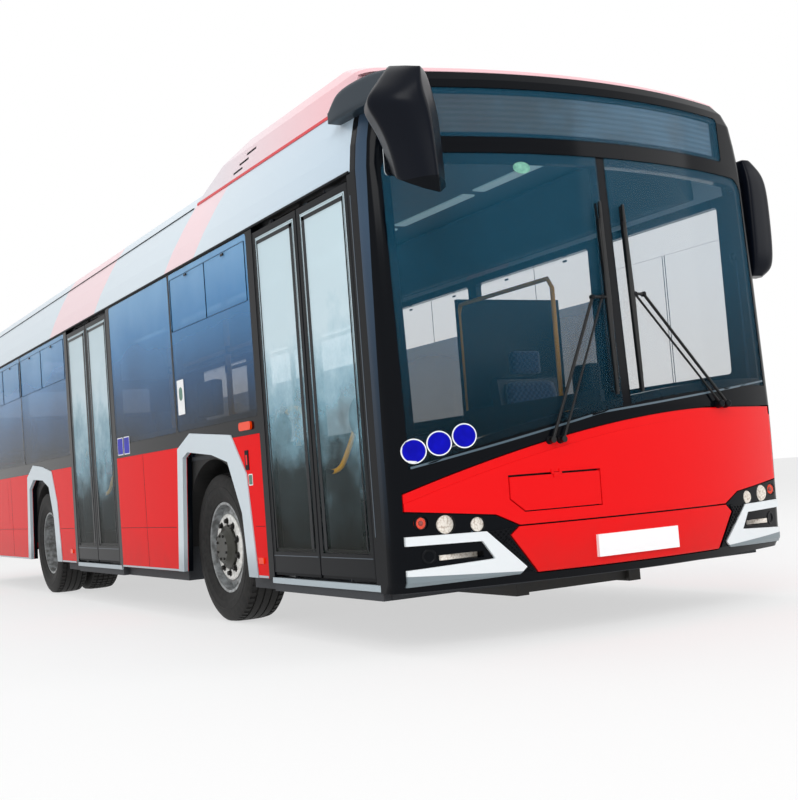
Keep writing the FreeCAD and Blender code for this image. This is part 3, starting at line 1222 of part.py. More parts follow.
HEAD_SIDE_S = -150.0
HEAD_BACK_S = -20.0
HEAD_CORNER = 18.0
HEAD_WIDE_Z = 2510.0
HEAD_ROWS = [(2030.0, 1330.0, 1220.0, 1112.0), (2190.0, 1368.0, 1232.0, 1117.0), (2350.0, 1416.0, 1240.0, 1122.0),
             (HEAD_WIDE_Z, MIRROR_REACH, 1262.0, 1138.0), (2620.0, 1424.0, 1282.0, 1170.0),
             (2700.0, 1322.0, 1262.0, 1200.0)]
HEAD_STEPS = 7
HEAD_CHIN = [(-340.0, 2066.0), (-140.0, 2176.0), (0.0, 2176.0), (0.0, 2000.0), (-340.0, 2000.0)]


head_line = Part.BSplineCurve()
head_line.interpolate(Points=[Vector(*row[1:]) for row in HEAD_ROWS], Parameters=[row[0] for row in HEAD_ROWS])


def head_section(z):
    """Plan section of the door side mirror: a broad face from its outer edge round to a front ridge."""
    outer, ridge, inner = head_line.value(z)
    outer = min(outer, MIRROR_REACH)
    front = -MIRROR_FORWARD + max(0.0, z - HEAD_WIDE_Z) * 0.55
    cheek = outer + (ridge - outer) * 0.42
    plan = [(-outer, HEAD_SIDE_S), (-cheek, front + 44), (-ridge, front), (-inner, front + 110),
            (-inner - 8, HEAD_BACK_S), (-outer + 16, HEAD_BACK_S)]
    return corner_wire([Vector(x, at(s), z) for x, s in plan], HEAD_CORNER)


def head_levels(z0, z1):
    """Even heights from z0 up to, and without, z1."""
    return [z0 + (z1 - z0) * i / HEAD_STEPS for i in range(HEAD_STEPS)]


head_foot_z, head_top_z = HEAD_ROWS[0][0], HEAD_ROWS[-1][0]
levels = head_levels(head_foot_z, HEAD_WIDE_Z) + head_levels(HEAD_WIDE_Z, head_top_z) + [head_top_z]
head = Part.makeLoft([head_section(z) for z in levels], True, True)
head = head.cut(prism_x(HEAD_CHIN, -MIRROR_REACH - 5, -1000))


def arm_section(s, x0, x1, z0, z1, radius):
    """Cross section of the mirror arm at one station."""
    return corner_wire([Vector(x0, at(s), z0), Vector(x1, at(s), z0), Vector(x1, at(s), z1),
                        Vector(x0, at(s), z1)], radius)


ARM_ROWS = [(570.0, -1296.0, -1190.0, 2636.0, 2690.0, 14.0), (500.0, -1302.0, -1180.0, 2632.0, 2730.0, 18.0),
            (420.0, -1306.0, -1170.0, 2628.0, 2766.0, 22.0), (110.0, -1312.0, -1170.0, 2612.0, 2744.0, 24.0),
            (-100.0, -1322.0, -1180.0, 2580.0, 2700.0, 26.0), (-190.0, -1330.0, -1200.0, 2560.0, 2660.0, 26.0)]
arm = Part.makeLoft([arm_section(*row) for row in ARM_ROWS], True, True)
door_mirror = head.fuse(arm).removeSplitter()
door_mirror = door_mirror.cut(nose(-SEAT_GAP)).cut(prism_y(roof_profile(-SEAT_GAP), NOSE_DEPTH - 5, 1200))
door_mirror = door_mirror.cut(fairing_form(SEAT_GAP))

SIDE_HEAD_ROWS = [(1862.0, 1425.0, 40.0), (1895.0, 1478.0, 18.0), (1960.0, 1500.0, 0.0), (2240.0, 1500.0, 0.0),
                  (2400.0, 1490.0, 0.0), (2480.0, 1470.0, 12.0), (2556.0, 1410.0, 40.0)]
SIDE_HEAD = (280.0, 460.0)


def side_head_section(z, outer, tuck):
    """Plan section of the driver's side mirror at one height."""
    s0 = SIDE_HEAD[0] + tuck
    s1 = SIDE_HEAD[1] - tuck
    plan = [(HALF + 30, s0 + 10), (outer - 50, s0), (outer, s0 + 50), (outer, s1), (HALF + 30, s1)]
    return corner_wire([Vector(x, at(s), z) for x, s in plan], 18.0)


side_head = Part.makeLoft([side_head_section(*row) for row in SIDE_HEAD_ROWS], True, True)
stays = [bar_x(HALF - 90, HALF + 60, 370.0, z, 22) for z in (1980.0, 2420.0)]
driver_mirror = joined([side_head] + stays).cut(nose(-SEAT_GAP))
save("mirrors", [max(door_mirror.Solids, key=lambda s: s.Volume),
                 max(driver_mirror.Solids, key=lambda s: s.Volume)])

WIPER_OUT = 24.0
WIPER_R = 8.0


def off_glass(x, z, out=WIPER_OUT):
    """Point standing off the nose skin."""
    return Vector(x, at(nose_s(x, z) - out), z)


def blade_section(x, z, width):
    """Level section of a wiper blade, widest at its arm."""
    middle = off_glass(x, z)
    return corner_wire([middle + Vector(a * width / 2, b * WIPER_R, 0)
                        for a, b in ((-1, -1), (1, -1), (1, 1), (-1, 1))], 5.0)


def wiper(pivot, elbow, blade_top, blade_foot, spread):
    """Parallel arms from two spindles to a blade that stands upright."""
    px, pz = pivot
    ex, ez = elbow
    start = off_glass(px, pz)
    end = off_glass(ex, ez)
    parts = [rod(start, end, WIPER_R), rod(off_glass(px + spread, pz), off_glass(ex + spread, ez), WIPER_R - 2)]
    parts.append(rod(end, off_glass(ex + spread, ez), WIPER_R))
    for x in (px, px + spread):
        parts.append(rod(off_glass(x, pz, WIPER_OUT + 8), off_glass(x, pz, -20), 16))
    blade_x = (blade_top[0] + blade_foot[0]) / 2
    parts.append(rod(end, off_glass(blade_x, ez), WIPER_R - 1))
    sections = [blade_section(*blade_foot, 18.0), blade_section(blade_x, ez, 34.0),
                blade_section(*blade_top, 16.0)]
    parts.append(Part.makeLoft(sections, True, True))
    return joined(parts).cut(nose(-SEAT_GAP))


WIPER_RIGHT = ((-482.0, 966.0), (-169.0, 1670.0), (-59.0, 2167.0), (-80.0, 1174.0), 60.0)
WIPER_LEFT = ((738.0, 1105.0), (169.0, 1688.0), (92.0, 2158.0), (86.0, 1184.0), -60.0)
wipers = [wiper(*WIPER_RIGHT), wiper(*WIPER_LEFT)]
save("wipers", [max(w.Solids, key=lambda s: s.Volume) for w in wipers])
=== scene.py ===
"""City bus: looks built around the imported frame, in metres. +Z is up, -Y is the nose, doors at -X."""
import math

import bmesh
import bpy
from mathutils import Matrix, Vector
from mathutils.bvhtree import BVHTree


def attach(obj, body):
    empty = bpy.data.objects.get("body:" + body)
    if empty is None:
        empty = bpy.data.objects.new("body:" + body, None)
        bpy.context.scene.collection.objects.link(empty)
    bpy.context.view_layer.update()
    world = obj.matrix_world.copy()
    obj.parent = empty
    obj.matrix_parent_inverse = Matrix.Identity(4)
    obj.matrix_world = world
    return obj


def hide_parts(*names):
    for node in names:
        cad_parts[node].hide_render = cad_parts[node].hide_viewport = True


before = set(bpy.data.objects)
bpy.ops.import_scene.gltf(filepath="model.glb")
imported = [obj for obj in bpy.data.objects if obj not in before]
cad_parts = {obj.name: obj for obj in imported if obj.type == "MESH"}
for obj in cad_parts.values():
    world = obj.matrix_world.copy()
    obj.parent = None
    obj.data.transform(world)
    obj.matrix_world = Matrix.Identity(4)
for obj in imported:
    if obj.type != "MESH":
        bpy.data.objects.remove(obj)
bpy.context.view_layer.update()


# Chassis and axles
# Welded steel rails, portal rear axle and a forged front beam, sprayed with satin black chassis paint
# that has picked up road dust; the engine is a grey cast iron block on the rear rails.

def linear(colour):
    """A shader's linear colour from an sRGB hex value."""
    parts = [int(colour[i:i + 2], 16) / 255 for i in (1, 3, 5)]
    return [c / 12.92 if c <= 0.04045 else ((c + 0.055) / 1.055) ** 2.4 for c in parts] + [1.0]


def plug(finish, value, socket):
    """Sets one input to a hex colour or a plain value, or feeds it from an output or a whole node."""
    if isinstance(value, str):
        socket.default_value = linear(value)
    elif isinstance(value, (int, float, tuple)):
        socket.default_value = value
    else:
        finish.node_tree.links.new(getattr(value, "outputs", [value])[0], socket)


def add(finish, kind, inputs=(), **settings):
    """Adds one node of a kind, or kind.operation, with its inputs by order or by name and its settings."""
    kind, _, operation = kind.partition(".")
    node = finish.node_tree.nodes.new("ShaderNode" + kind)
    if operation:
        node.operation = operation
    for name, value in settings.items():
        if name == "stops":
            ramp = node.color_ramp
            while len(ramp.elements) < len(value):
                ramp.elements.new(0.5)
            for element, (place, colour) in zip(ramp.elements, value):
                element.position = place
                element.color = linear(colour)
        else:
            setattr(node.color_ramp if name == "interpolation" else node, name, value)
    for name, value in inputs.items() if isinstance(inputs, dict) else enumerate(inputs):
        plug(finish, value, node.inputs[name])
    return node


def feed(finish, name, value):
    """Sets or feeds one input of the finish's shader."""
    plug(finish, value, finish.node_tree.nodes["Principled BSDF"].inputs[name])


def new_finish(name, colour="#e7e7e7", rough=0.5, specular=0.5, metal=0.0):
    """A new finish whose shader takes this colour and gloss."""
    finish = bpy.data.materials.new(name)
    finish.use_nodes = True
    feed(finish, "Base Color", colour)
    feed(finish, "Roughness", rough)
    feed(finish, "Specular IOR Level", specular)
    feed(finish, "Metallic", metal)
    return finish


def place_of(finish):
    """The piece's own coordinates, and each of them by itself."""
    place = add(finish, "TexCoord").outputs["Object"]
    return place, add(finish, "SeparateXYZ", [place]).outputs


def grain(finish, size_mm, depth_mm, strength=0.5, detail=3.0):
    """Fine relief of a moulded, sprayed or cast surface, with bumps about size_mm across."""
    place = place_of(finish)[0]
    noise = add(finish, "TexNoise", {"Vector": place, "Scale": 1000.0 / size_mm, "Detail": detail})
    bump = add(finish, "Bump", {"Height": noise, "Strength": strength, "Distance": depth_mm / 1000})
    feed(finish, "Normal", bump)


def mottled(finish, dark, light, size_mm, rough_low, rough_high):
    """Uneven colour and gloss, from dark to light, in patches about size_mm across."""
    place = place_of(finish)[0]
    noise = add(finish, "TexNoise", {"Vector": place, "Scale": 1000.0 / size_mm, "Detail": 6.0})
    tone = add(finish, "ValToRGB", [noise], stops=[(0.35, dark), (0.7, light)])
    feed(finish, "Base Color", tone)
    gloss = add(finish, "MapRange", [noise, 0.0, 1.0, rough_low, rough_high])
    feed(finish, "Roughness", gloss)


def finish_nodes(finish, *nodes):
    """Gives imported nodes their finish."""
    for node in nodes:
        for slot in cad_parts[node].material_slots:
            slot.material = finish


# Sprayed black chassis paint: satin, with paler dust in the dents.
chassis_paint = new_finish("sprayed_chassis_paint")
mottled(chassis_paint, "#101112", "#2a2723", 60, 0.45, 0.8)
grain(chassis_paint, 3.0, 0.3)
finish_nodes(chassis_paint, "chassis_frame", "axles", "knuckle_left", "knuckle_right")

# Sand-cast iron: rough grey with oil-darkened patches.
cast_iron = new_finish("sand_cast_iron", metal=0.6)
mottled(cast_iron, "#2b2a29", "#5a5856", 45, 0.5, 0.75)
grain(cast_iron, 2.0, 0.5)
finish_nodes(cast_iron, "engine_block")


# Floor, wheel boxes and arch liners
# Plywood floor under speckled grey safety vinyl, coved up over the steel wheel boxes. Each arch
# has a moulded black liner, bent round the tyre and turned out to a lip behind the arch trim.

NOSE_Y = -5.110
SIDE_X = 1.275
ACROSS, UPWARD = (1.0, 0.0, 0.0), (0.0, 0.0, 1.0)
FRONT_AXLE = (NOSE_Y + 2.700, 0.479)
REAR_AXLE = (NOSE_Y + 7.150, 0.479)


def piece(name, form, finish, slot, body="bus_body", smooth=False):
    """Turns a form into a finished piece that rides on a body."""
    bmesh.ops.recalc_face_normals(form, faces=form.faces[:])
    mesh = bpy.data.meshes.new(name)
    form.to_mesh(mesh)
    form.free()
    for face in mesh.polygons:
        face.use_smooth = smooth
    mesh.materials.append(finish)
    made = bpy.data.objects.new(name, mesh)
    bpy.context.scene.collection.objects.link(made)
    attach(made, body)
    return made


def turned(form, profile, centre, axis, steps=48, start=None, angle=math.tau):
    """Spins a line of (along, radius) points about an axis through centre, from the start direction."""
    axis = Vector(axis)
    side = Vector(start) if start else axis.orthogonal().normalized()
    chain = [form.verts.new(Vector(centre) + axis * along + side * radius) for along, radius in profile]
    edges = [form.edges.new(pair) for pair in zip(chain, chain[1:])]
    bmesh.ops.spin(form, geom=chain + edges, cent=centre, axis=axis, angle=angle, steps=steps,
                   use_merge=angle == math.tau)
    bmesh.ops.remove_doubles(form, verts=form.verts[:], dist=0.00001)


def on_both_sides(form):
    """Copies everything in the form across the bus and returns the copy."""
    whole = form.verts[:] + form.edges[:] + form.faces[:]
    return bmesh.ops.mirror(form, geom=whole, matrix=Matrix(), merge_dist=-1.0, axis="X")["geom"]


# Safety vinyl: matt grey with pale flakes about 4 mm across.
vinyl = new_finish("flaked_safety_vinyl", rough=0.7)
place = place_of(vinyl)[0]
flakes = add(vinyl, "TexVoronoi", {"Vector": place, "Scale": 240.0})
tone = add(vinyl, "ValToRGB", [flakes], stops=[(0.0, "#7d8288"), (0.12, "#33363b"), (1.0, "#282b2f")])
feed(vinyl, "Base Color", tone)
grain(vinyl, 1.5, 0.2)
finish_nodes(vinyl, "floor")

# Moulded polyethylene: matt black, dulled by dried spray in patches.
arch_plastic = new_finish("moulded_black_polyethylene")
mottled(arch_plastic, "#0b0b0c", "#1d1c1b", 80, 0.55, 0.8)
grain(arch_plastic, 4.0, 0.3)

LINER_R = 0.575
LIP_R = 0.70
liners = bmesh.new()
for axle_y, axle_z in (FRONT_AXLE, REAR_AXLE):
    turned(liners, [(0.70, LINER_R), (1.209, LINER_R), (1.209, LIP_R), (1.205, LIP_R),
                    (1.205, LINER_R + 0.004), (0.70, LINER_R + 0.004), (0.70, LINER_R)],
           (0.0, axle_y, axle_z), ACROSS, 40, (0.0, -1.0, 0.0), -math.pi)
bmesh.ops.holes_fill(liners, edges=liners.edges[:], sides=0)
on_both_sides(liners)
piece("arch_liners", liners, arch_plastic, "chassis_black")


# Side walls
# Window band and pillars in gloss black lacquer. A black rubber gutter runs under the roof band,
# hopper windows have black anodised frames with a pull catch, and blank stickers lie on the glass.

# Gloss black lacquer: deep blue-black, mirror smooth; the low specular keeps it black in a pale room.
# The facet down each front corner pillar carries a painted blue-grey highlight that grows towards the top.
black_lacquer = new_finish("gloss_black_lacquer", rough=0.12, specular=0.08)
place, axes = place_of(black_lacquer)
band = add(black_lacquer, "Math.COMPARE", [axes["Y"], NOSE_Y + 0.330, 0.032])
painted_light_rise = add(black_lacquer, "MapRange", [axes["Z"], 0.5, 2.1, 0.0, 0.85])
outward = add(black_lacquer, "Math.ABSOLUTE", [axes["X"]])
corner = add(black_lacquer, "Math.GREATER_THAN", [outward, 1.17])
# Painted highlight down the front corner pillars, stronger higher up.
painted_pillar_highlight = add(black_lacquer, "Math.MULTIPLY", [band, painted_light_rise])
painted_pillar_highlight = add(black_lacquer, "Math.MULTIPLY", [painted_pillar_highlight, corner])
tone = add(black_lacquer, "MixRGB", [painted_pillar_highlight, "#080b10", "#43566b"])
feed(black_lacquer, "Base Color", tone)
grain(black_lacquer, 9.0, 0.04, 0.1)
finish_nodes(black_lacquer, "side_wall_left", "side_wall_right")

# EPDM rubber: matt charcoal with a faint extruded grain.
rubber = new_finish("extruded_epdm_rubber", "#101215", 0.6, 0.12)
grain(rubber, 1.5, 0.1)

# Anodised black aluminium: satin, faintly brushed along its length.
black_anodised = new_finish("black_anodised_aluminium", "#0d1117", 0.3, 0.12, 0.25)
place = place_of(black_anodised)[0]
stretch = add(black_anodised, "Mapping", {"Vector": place, "Scale": (900.0, 900.0, 6.0)})
brush = add(black_anodised, "TexNoise", {"Vector": stretch, "Scale": 1.0, "Detail": 2.0})
bump = add(black_anodised, "Bump", {"Height": brush, "Strength": 0.2, "Distance": 0.0001})
feed(black_anodised, "Normal", bump)


def block(form, corner, opposite, edge=0.0, turn=None):
    """Adds a box between two corners, given as (x, distance behind the nose, z), with rounded edges."""
    corners = bmesh.ops.create_cube(form, size=1.0)["verts"]
    middle = Vector([(a + b) / 2 for a, b in zip(corner, opposite)]) + Vector((0.0, NOSE_Y, 0.0))
    bmesh.ops.scale(form, vec=[abs(b - a) for a, b in zip(corner, opposite)], verts=corners)
    bmesh.ops.transform(form, matrix=Matrix.Translation(middle) @ (turn or Matrix()), verts=corners)
    if edge:
        edges = list({e for v in corners for e in v.link_edges})
        bmesh.ops.bevel(form, geom=edges, offset=edge, segments=2, profile=0.5, affect="EDGES", material=-1)


def boxed(name, finish, slot, boxes, both_sides=False):
    """Makes a piece of plain boxes, each given by two corners and the rounding of its edges."""
    form = bmesh.new()
    for box in boxes:
        block(form, *box)
    if both_sides:
        on_both_sides(form)
    piece(name, form, finish, slot)


def thickened(form, faces, offset):
    """Gives flat faces their thickness and keeps their back closed."""
    grown = bmesh.ops.extrude_face_region(form, geom=faces, use_keep_orig=True)["geom"]
    bmesh.ops.translate(form, vec=offset, verts=[g for g in grown if isinstance(g, bmesh.types.BMVert)])


def side_face(form, x, s0, s1, z0, z1):
    """Adds one upright face along the bus."""
    outline = ((s0, z0), (s1, z0), (s1, z1), (s0, z1))
    return form.faces.new([form.verts.new((x, NOSE_Y + s, z)) for s, z in outline])


def side_frame(form, side, s0, s1, z0, z1, width, proud, sunk=0.0):
    """Adds a flat frame inside an outline on the side wall, of this width, standing proud of it."""
    face = side_face(form, side * (SIDE_X - 0.001 - sunk), s0, s1, z0, z1)
    ring = bmesh.ops.inset_region(form, faces=[face], thickness=width, use_even_offset=True,
                                  use_boundary=True)["faces"]
    bmesh.ops.delete(form, geom=[face], context="FACES")
    thickened(form, ring, (side * proud, 0.0, 0.0))


HOPPER_Z = (1.945, 2.300)
HOPPERS = {-1: [(1.800, 2.470), (2.470, 3.130), (6.010, 6.860), (6.860, 7.715), (7.790, 8.560),
                (8.560, 9.310)],
           1: [(1.690, 2.420), (2.420, 3.150), (3.190, 3.890), (3.890, 4.595), (6.080, 6.900),
               (6.900, 7.735), (7.790, 8.560), (8.560, 9.310)]}
hoppers = bmesh.new()
for side, lights in HOPPERS.items():
    for s0, s1 in lights:
        side_frame(hoppers, side, s0, s1, *HOPPER_Z, 0.026, 0.005)
        middle = (s0 + s1) / 2
        x = side * (SIDE_X + 0.004)
        block(hoppers, (x, middle - 0.022, 2.276), (x + side * 0.008, middle + 0.022, 2.290), 0.002)
piece("hopper_frames", hoppers, black_anodised, "gloss_black")

# The driver's own window slides in a frame of its own.
slider = bmesh.new()
for s0, s1 in ((0.440, 1.050), (1.030, 1.640)):
    side_frame(slider, 1, s0, s1, 1.290, 2.120, 0.024, 0.006)
piece("driver_window_frame", slider, black_anodised, "gloss_black")

# The gutter is clipped over the joint between the wall and the roof band.
boxed("gutters", rubber, "gloss_black",
      [((SIDE_X - 0.004, 0.430, 2.348), (SIDE_X + 0.007, 10.180, 2.362), 0.003)], True)

# Printed vinyl stickers, left blank: a white one with a green patch, and two blue squares.
white_vinyl = new_finish("white_sticker_vinyl")
mottled(white_vinyl, "#eef1f2", "#fbfcfc", 50, 0.3, 0.4)
blue_vinyl = new_finish("blue_sticker_vinyl", specular=0.08)
mottled(blue_vinyl, "#0708a4", "#0c0dbe", 50, 0.25, 0.35)
green_vinyl = new_finish("green_sticker_vinyl")
mottled(green_vinyl, "#1d5a49", "#2f7a63", 50, 0.25, 0.35)


def side_sticker(form, s0, s1, z0, z1, proud, corner):
    """Adds a thin sticker with rounded corners to the door side."""
    face = side_face(form, -SIDE_X - proud, s0, s1, z0, z1)
    bmesh.ops.bevel(form, geom=list(face.verts), offset=corner, segments=4, profile=0.5, affect="VERTICES",
                    material=-1)
    top = [f for f in form.faces if len(f.verts) > 4 and all(len(e.link_faces) == 1 for e in f.edges)]
    thickened(form, top, (0.0008, 0.0, 0.0))


STICKERS = {"white": (white_vinyl, [(2.980, 3.110, 1.375, 1.610, 0.0020, 0.006),
                                    (4.250, 4.390, 1.180, 1.315, 0.0016, 0.010),
                                    (4.415, 4.555, 1.180, 1.315, 0.0016, 0.010),
                                    (1.905, 1.965, 0.862, 0.930, 0.0012, 0.008)]),
            "blue": (blue_vinyl, [(4.257, 4.383, 1.187, 1.308, 0.0024, 0.008),
                                  (4.422, 4.548, 1.187, 1.308, 0.0024, 0.008)]),
            "green": (green_vinyl, [(3.010, 3.075, 1.470, 1.560, 0.0028, 0.030),
                                    (1.911, 1.959, 0.868, 0.924, 0.0020, 0.005)])}
for name, (finish, outlines) in STICKERS.items():
    stickers = bmesh.new()
    for outline in outlines:
        side_sticker(stickers, *outline)
    piece(name + "_stickers", stickers, finish, "trim_silver")

# Validator behind the first window, with its dark screen turned to the glass.
boxed("validator", black_anodised, "cab_grey", [((-1.205, 2.640, 1.340), (-1.130, 2.930, 1.570), 0.012)])


# Skirts
# Red enamelled aluminium panels hang below the walls in lengths, with thin joints between them, a
# pale strip along the foot, a sunk pull handle by the front door and flaps over the fillers.

ENAMEL_RED = "#ee0a10"
DUSTY_RED = "#a8332c"


def enamel(name, gloss):
    """Red body enamel of this gloss, with road film gathering towards the lower edge."""
    finish = new_finish(name, rough=0.2, specular=gloss)
    place, axes = place_of(finish)
    noise = add(finish, "TexNoise", {"Vector": place, "Scale": 7.0, "Detail": 5.0})
    low = add(finish, "MapRange", [axes["Z"], 0.30, 0.62, 0.5, 0.0])
    film = add(finish, "Math.MULTIPLY", [low, noise])
    tone = add(finish, "ValToRGB", [film], stops=[(0.0, ENAMEL_RED), (1.0, DUSTY_RED)])
    feed(finish, "Base Color", tone)
    grain(finish, 8.0, 0.05, 0.15)
    return finish


red_enamel = enamel("red_body_enamel", 0.14)
finish_nodes(red_enamel, "engine_lid", "front_panel", "front_flap")
skirt_enamel = enamel("dulled_red_skirt_enamel", 0.02)
finish_nodes(skirt_enamel, "skirt_panels")

# Silver trim: painted moulding, fine metal flake under a satin clear coat; the number plate is white.
silver_trim = new_finish("silver_painted_moulding", rough=0.32, metal=0.15)
place, axes = place_of(silver_trim)
across = add(silver_trim, "Math.ABSOLUTE", [axes["X"]])
plate_part = add(silver_trim, "Math.LESS_THAN", [across, 0.30])
# Painted light: the trim is paler higher up and palest on the nose, with a painted shade on the lower facet
# at the nose.
low = add(silver_trim, "MapRange", [axes["Z"], 0.36, 0.50])
sides = add(silver_trim, "Math.MULTIPLY_ADD", [across, -0.044, axes["Z"]])
under = add(silver_trim, "Math.LESS_THAN", [sides, 0.316])
nose_part = add(silver_trim, "Math.LESS_THAN", [axes["Y"], NOSE_Y + 0.40])
painted_shade_facet = add(silver_trim, "Math.MULTIPLY", [under, nose_part])
lit = add(silver_trim, "MixRGB", [low, "#a9b6bd", "#cdd9e0"])
lit = add(silver_trim, "MixRGB", [nose_part, lit, "#eaf0f3"])
shade = add(silver_trim, "MixRGB", [painted_shade_facet, lit, "#7d8a90"])
tone = add(silver_trim, "MixRGB", [plate_part, shade, "#fbfcfd"])
feed(silver_trim, "Base Color", tone)
grain(silver_trim, 2.0, 0.03, 0.15)
finish_nodes(silver_trim, "trims")

FOOT_RUNS = {-1: [(1.765, 1.905), (3.302, 4.595), (5.985, 6.455), (7.795, 10.180)],
             1: [(0.445, 1.905), (3.302, 6.455), (7.795, 10.180)]}
foot = bmesh.new()
for side, runs in FOOT_RUNS.items():
    x = side * SIDE_X
    for s0, s1 in runs:
        block(foot, (x, s0, 0.321), (x + side * 0.003, s1, 0.334), 0.001)
piece("skirt_foot_strips", foot, silver_trim, "trim_silver")

PANEL_JOINTS = {-1: [3.950, 8.450, 9.300], 1: [1.250, 3.950, 4.800, 5.650, 8.450, 9.300]}
joints = bmesh.new()
for side, stations in PANEL_JOINTS.items():
    x = side * SIDE_X
    for s in stations:
        block(joints, (x, s - 0.002, 0.336), (x + side * 0.0006, s + 0.002, 1.158))
    for s0, s1 in FOOT_RUNS[side]:
        block(joints, (x, s0, 0.619), (x + side * 0.0006, s1, 0.622))
piece("skirt_joints", joints, rubber, "gloss_black")

boxed("pull_handle_surround", rubber, "gloss_black",
      [((-SIDE_X - 0.004, 1.945, 0.955), (-SIDE_X + 0.002, 2.000, 1.072), 0.002)])
boxed("pull_handle", red_enamel, "body_red",
      [((-SIDE_X - 0.0055, 1.962, 0.985), (-SIDE_X, 1.984, 1.045), 0.002)])

flaps = bmesh.new()
for side, s0, s1, z0, z1 in ((1, 5.300, 5.560, 0.800, 1.060), (1, 4.200, 4.700, 0.700, 1.080),
                             (1, 8.600, 9.150, 0.680, 1.120), (1, 0.800, 1.120, 0.520, 0.900),
                             (-1, 8.600, 9.150, 0.680, 1.120)):
    side_frame(flaps, side, s0, s1, z0, z1, 0.004, 0.0015)
piece("side_flap_joints", flaps, rubber, "gloss_black")

# Air louvres for the engine bay, pressed black aluminium.
louvres = bmesh.new()
for side in (-1, 1):
    x = side * (SIDE_X + 0.001)
    for z in [0.72 + i * 0.044 for i in range(9)]:
        block(louvres, (x, 9.420, z), (x + side * 0.008, 10.050, z + 0.026), 0.003,
              Matrix.Rotation(side * math.radians(-14), 4, "Y"))
piece("engine_bay_louvres", louvres, black_anodised, "gloss_black")


# Roof
# Glass-fibre roof shell: a silver-white band over the windows with slanting pale red stripes.
# The fairing over the front is pale too, edged by a red line, and carries three cut slots a side.

BAND_WHITE = "#dbe8f1"
STRIPE_ROSE = "#f9dce1"

# Band lacquer: silver white; the stripes lean forward as they rise and stop at the eaves.
band_lacquer = new_finish("silver_white_band_lacquer", rough=0.3, specular=0.4)
place, axes = place_of(band_lacquer)
lean = add(band_lacquer, "Math.MULTIPLY_ADD", [axes["Z"], 1.40, -NOSE_Y - 1.40 * 2.36])
run = add(band_lacquer, "Math.ADD", [axes["Y"], lean])
part = add(band_lacquer, "Math.DIVIDE", [run, 10.0])
tone = add(band_lacquer, "ValToRGB", [part], interpolation="CONSTANT",
           stops=[(0.0, BAND_WHITE), (0.262, STRIPE_ROSE), (0.322, BAND_WHITE), (0.498, STRIPE_ROSE),
                  (0.645, BAND_WHITE)])
on_top = add(band_lacquer, "Math.GREATER_THAN", [axes["Z"], 2.80])
# Painted shade: the band turns blue-grey towards the nose, ahead of the first stripe.
ahead = add(band_lacquer, "MapRange", [axes["Y"], NOSE_Y + 2.6, NOSE_Y + 0.3, 0.0, 0.75])
front_painted_shade = add(band_lacquer, "MixRGB", [ahead, tone, "#b4cadb"])
plain = add(band_lacquer, "MixRGB", [on_top, front_painted_shade, BAND_WHITE])
header = add(band_lacquer, "Math.LESS_THAN", [axes["Z"], 2.3556])
whole_tone = add(band_lacquer, "MixRGB", [header, plain, "#0a0d12"])
feed(band_lacquer, "Base Color", whole_tone)
grain(band_lacquer, 12.0, 0.05, 0.2)
finish_nodes(band_lacquer, "roof_shell")

# Fairing lacquer: near white with a breath of red; the hatches behind it are silver white.
fairing_lacquer = new_finish("pale_rose_fairing_lacquer", rough=0.3, specular=0.4)
place, axes = place_of(fairing_lacquer)
behind = add(fairing_lacquer, "MapRange", [axes["Y"], NOSE_Y + 0.8, NOSE_Y + 3.0])
tone = add(fairing_lacquer, "MixRGB", [behind, "#f3c3c9", "#e3eaf0"])
foot = add(fairing_lacquer, "Math.LESS_THAN", [axes["Z"], 2.740])
edged = add(fairing_lacquer, "MixRGB", [foot, tone, "#d8202c"])
feed(fairing_lacquer, "Base Color", edged)
grain(fairing_lacquer, 12.0, 0.05, 0.2)
finish_nodes(fairing_lacquer, "roof_unit")

# Cross seams of the roof skin: sealed beads over its joints.
boxed("roof_seam_beads", rubber, "gloss_black",
      [((-1.02, s - 0.012, 2.846), (1.02, s + 0.012, 2.853), 0.002) for s in (4.600, 6.300, 8.200, 9.400)])

# Side seam of the band: a fine dark joint along the eaves behind the fairing.
boxed("eaves_joints", rubber, "gloss_black", [((1.196, 2.760, 2.716), (1.206, 10.170, 2.722), 0.001)], True)


# Nose and tail
# One black moulding carries the windscreen, the sign and the lamps, with red panels let into it;
# the tail moulding is red below the waist, black round its window and silver white at the roof.

FORWARD = Vector((0.0, 1.0, 0.0))
FAR_OFF = 12.0
OUTSIDE_Y = 9.0
UPRIGHT = Matrix.Rotation(math.pi / 2, 4, "X")


def surface_of(node):
    """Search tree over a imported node's surface."""
    form = bmesh.new()
    form.from_mesh(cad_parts[node].data)
    tree = BVHTree.FromBMesh(form)
    form.free()
    return tree


def laid_on(form, trees, lift):
    """Moves every point back along the bus until it stands lift off the first surface it meets."""
    for vert in form.verts:
        start = vert.co - FORWARD * FAR_OFF
        hits = [hit for hit in (tree.ray_cast(start, FORWARD) for tree in trees) if hit[0]]
        if hits:
            vert.co = min(hits, key=lambda hit: hit[3])[0] - FORWARD * lift


def on_nose(tree, x, z):
    """The point of a surface met at x and z from ahead of the bus."""
    return tree.ray_cast(Vector((x, -OUTSIDE_Y, z)), FORWARD)[0]


def on_tail(tree, x, z):
    """How far behind the nose a surface is met at x and z from behind the bus."""
    return tree.ray_cast(Vector((x, OUTSIDE_Y, z)), -FORWARD)[0].y - NOSE_Y


def cut_away(form, point, outward):
    """Cuts off everything beyond a plane."""
    whole = form.verts[:] + form.edges[:] + form.faces[:]
    bmesh.ops.bisect_plane(form, geom=whole, plane_co=point, plane_no=outward, clear_outer=True)


def cut_to(form, outline):
    """Cuts a flat grid in the XZ plane back to an outline given anticlockwise as seen from the front."""
    points = [Vector((x, 0.0, z)) for x, z in outline]
    for start, end in zip(points, points[1:] + points[:1]):
        cut_away(form, start, (end - start).cross(-FORWARD))


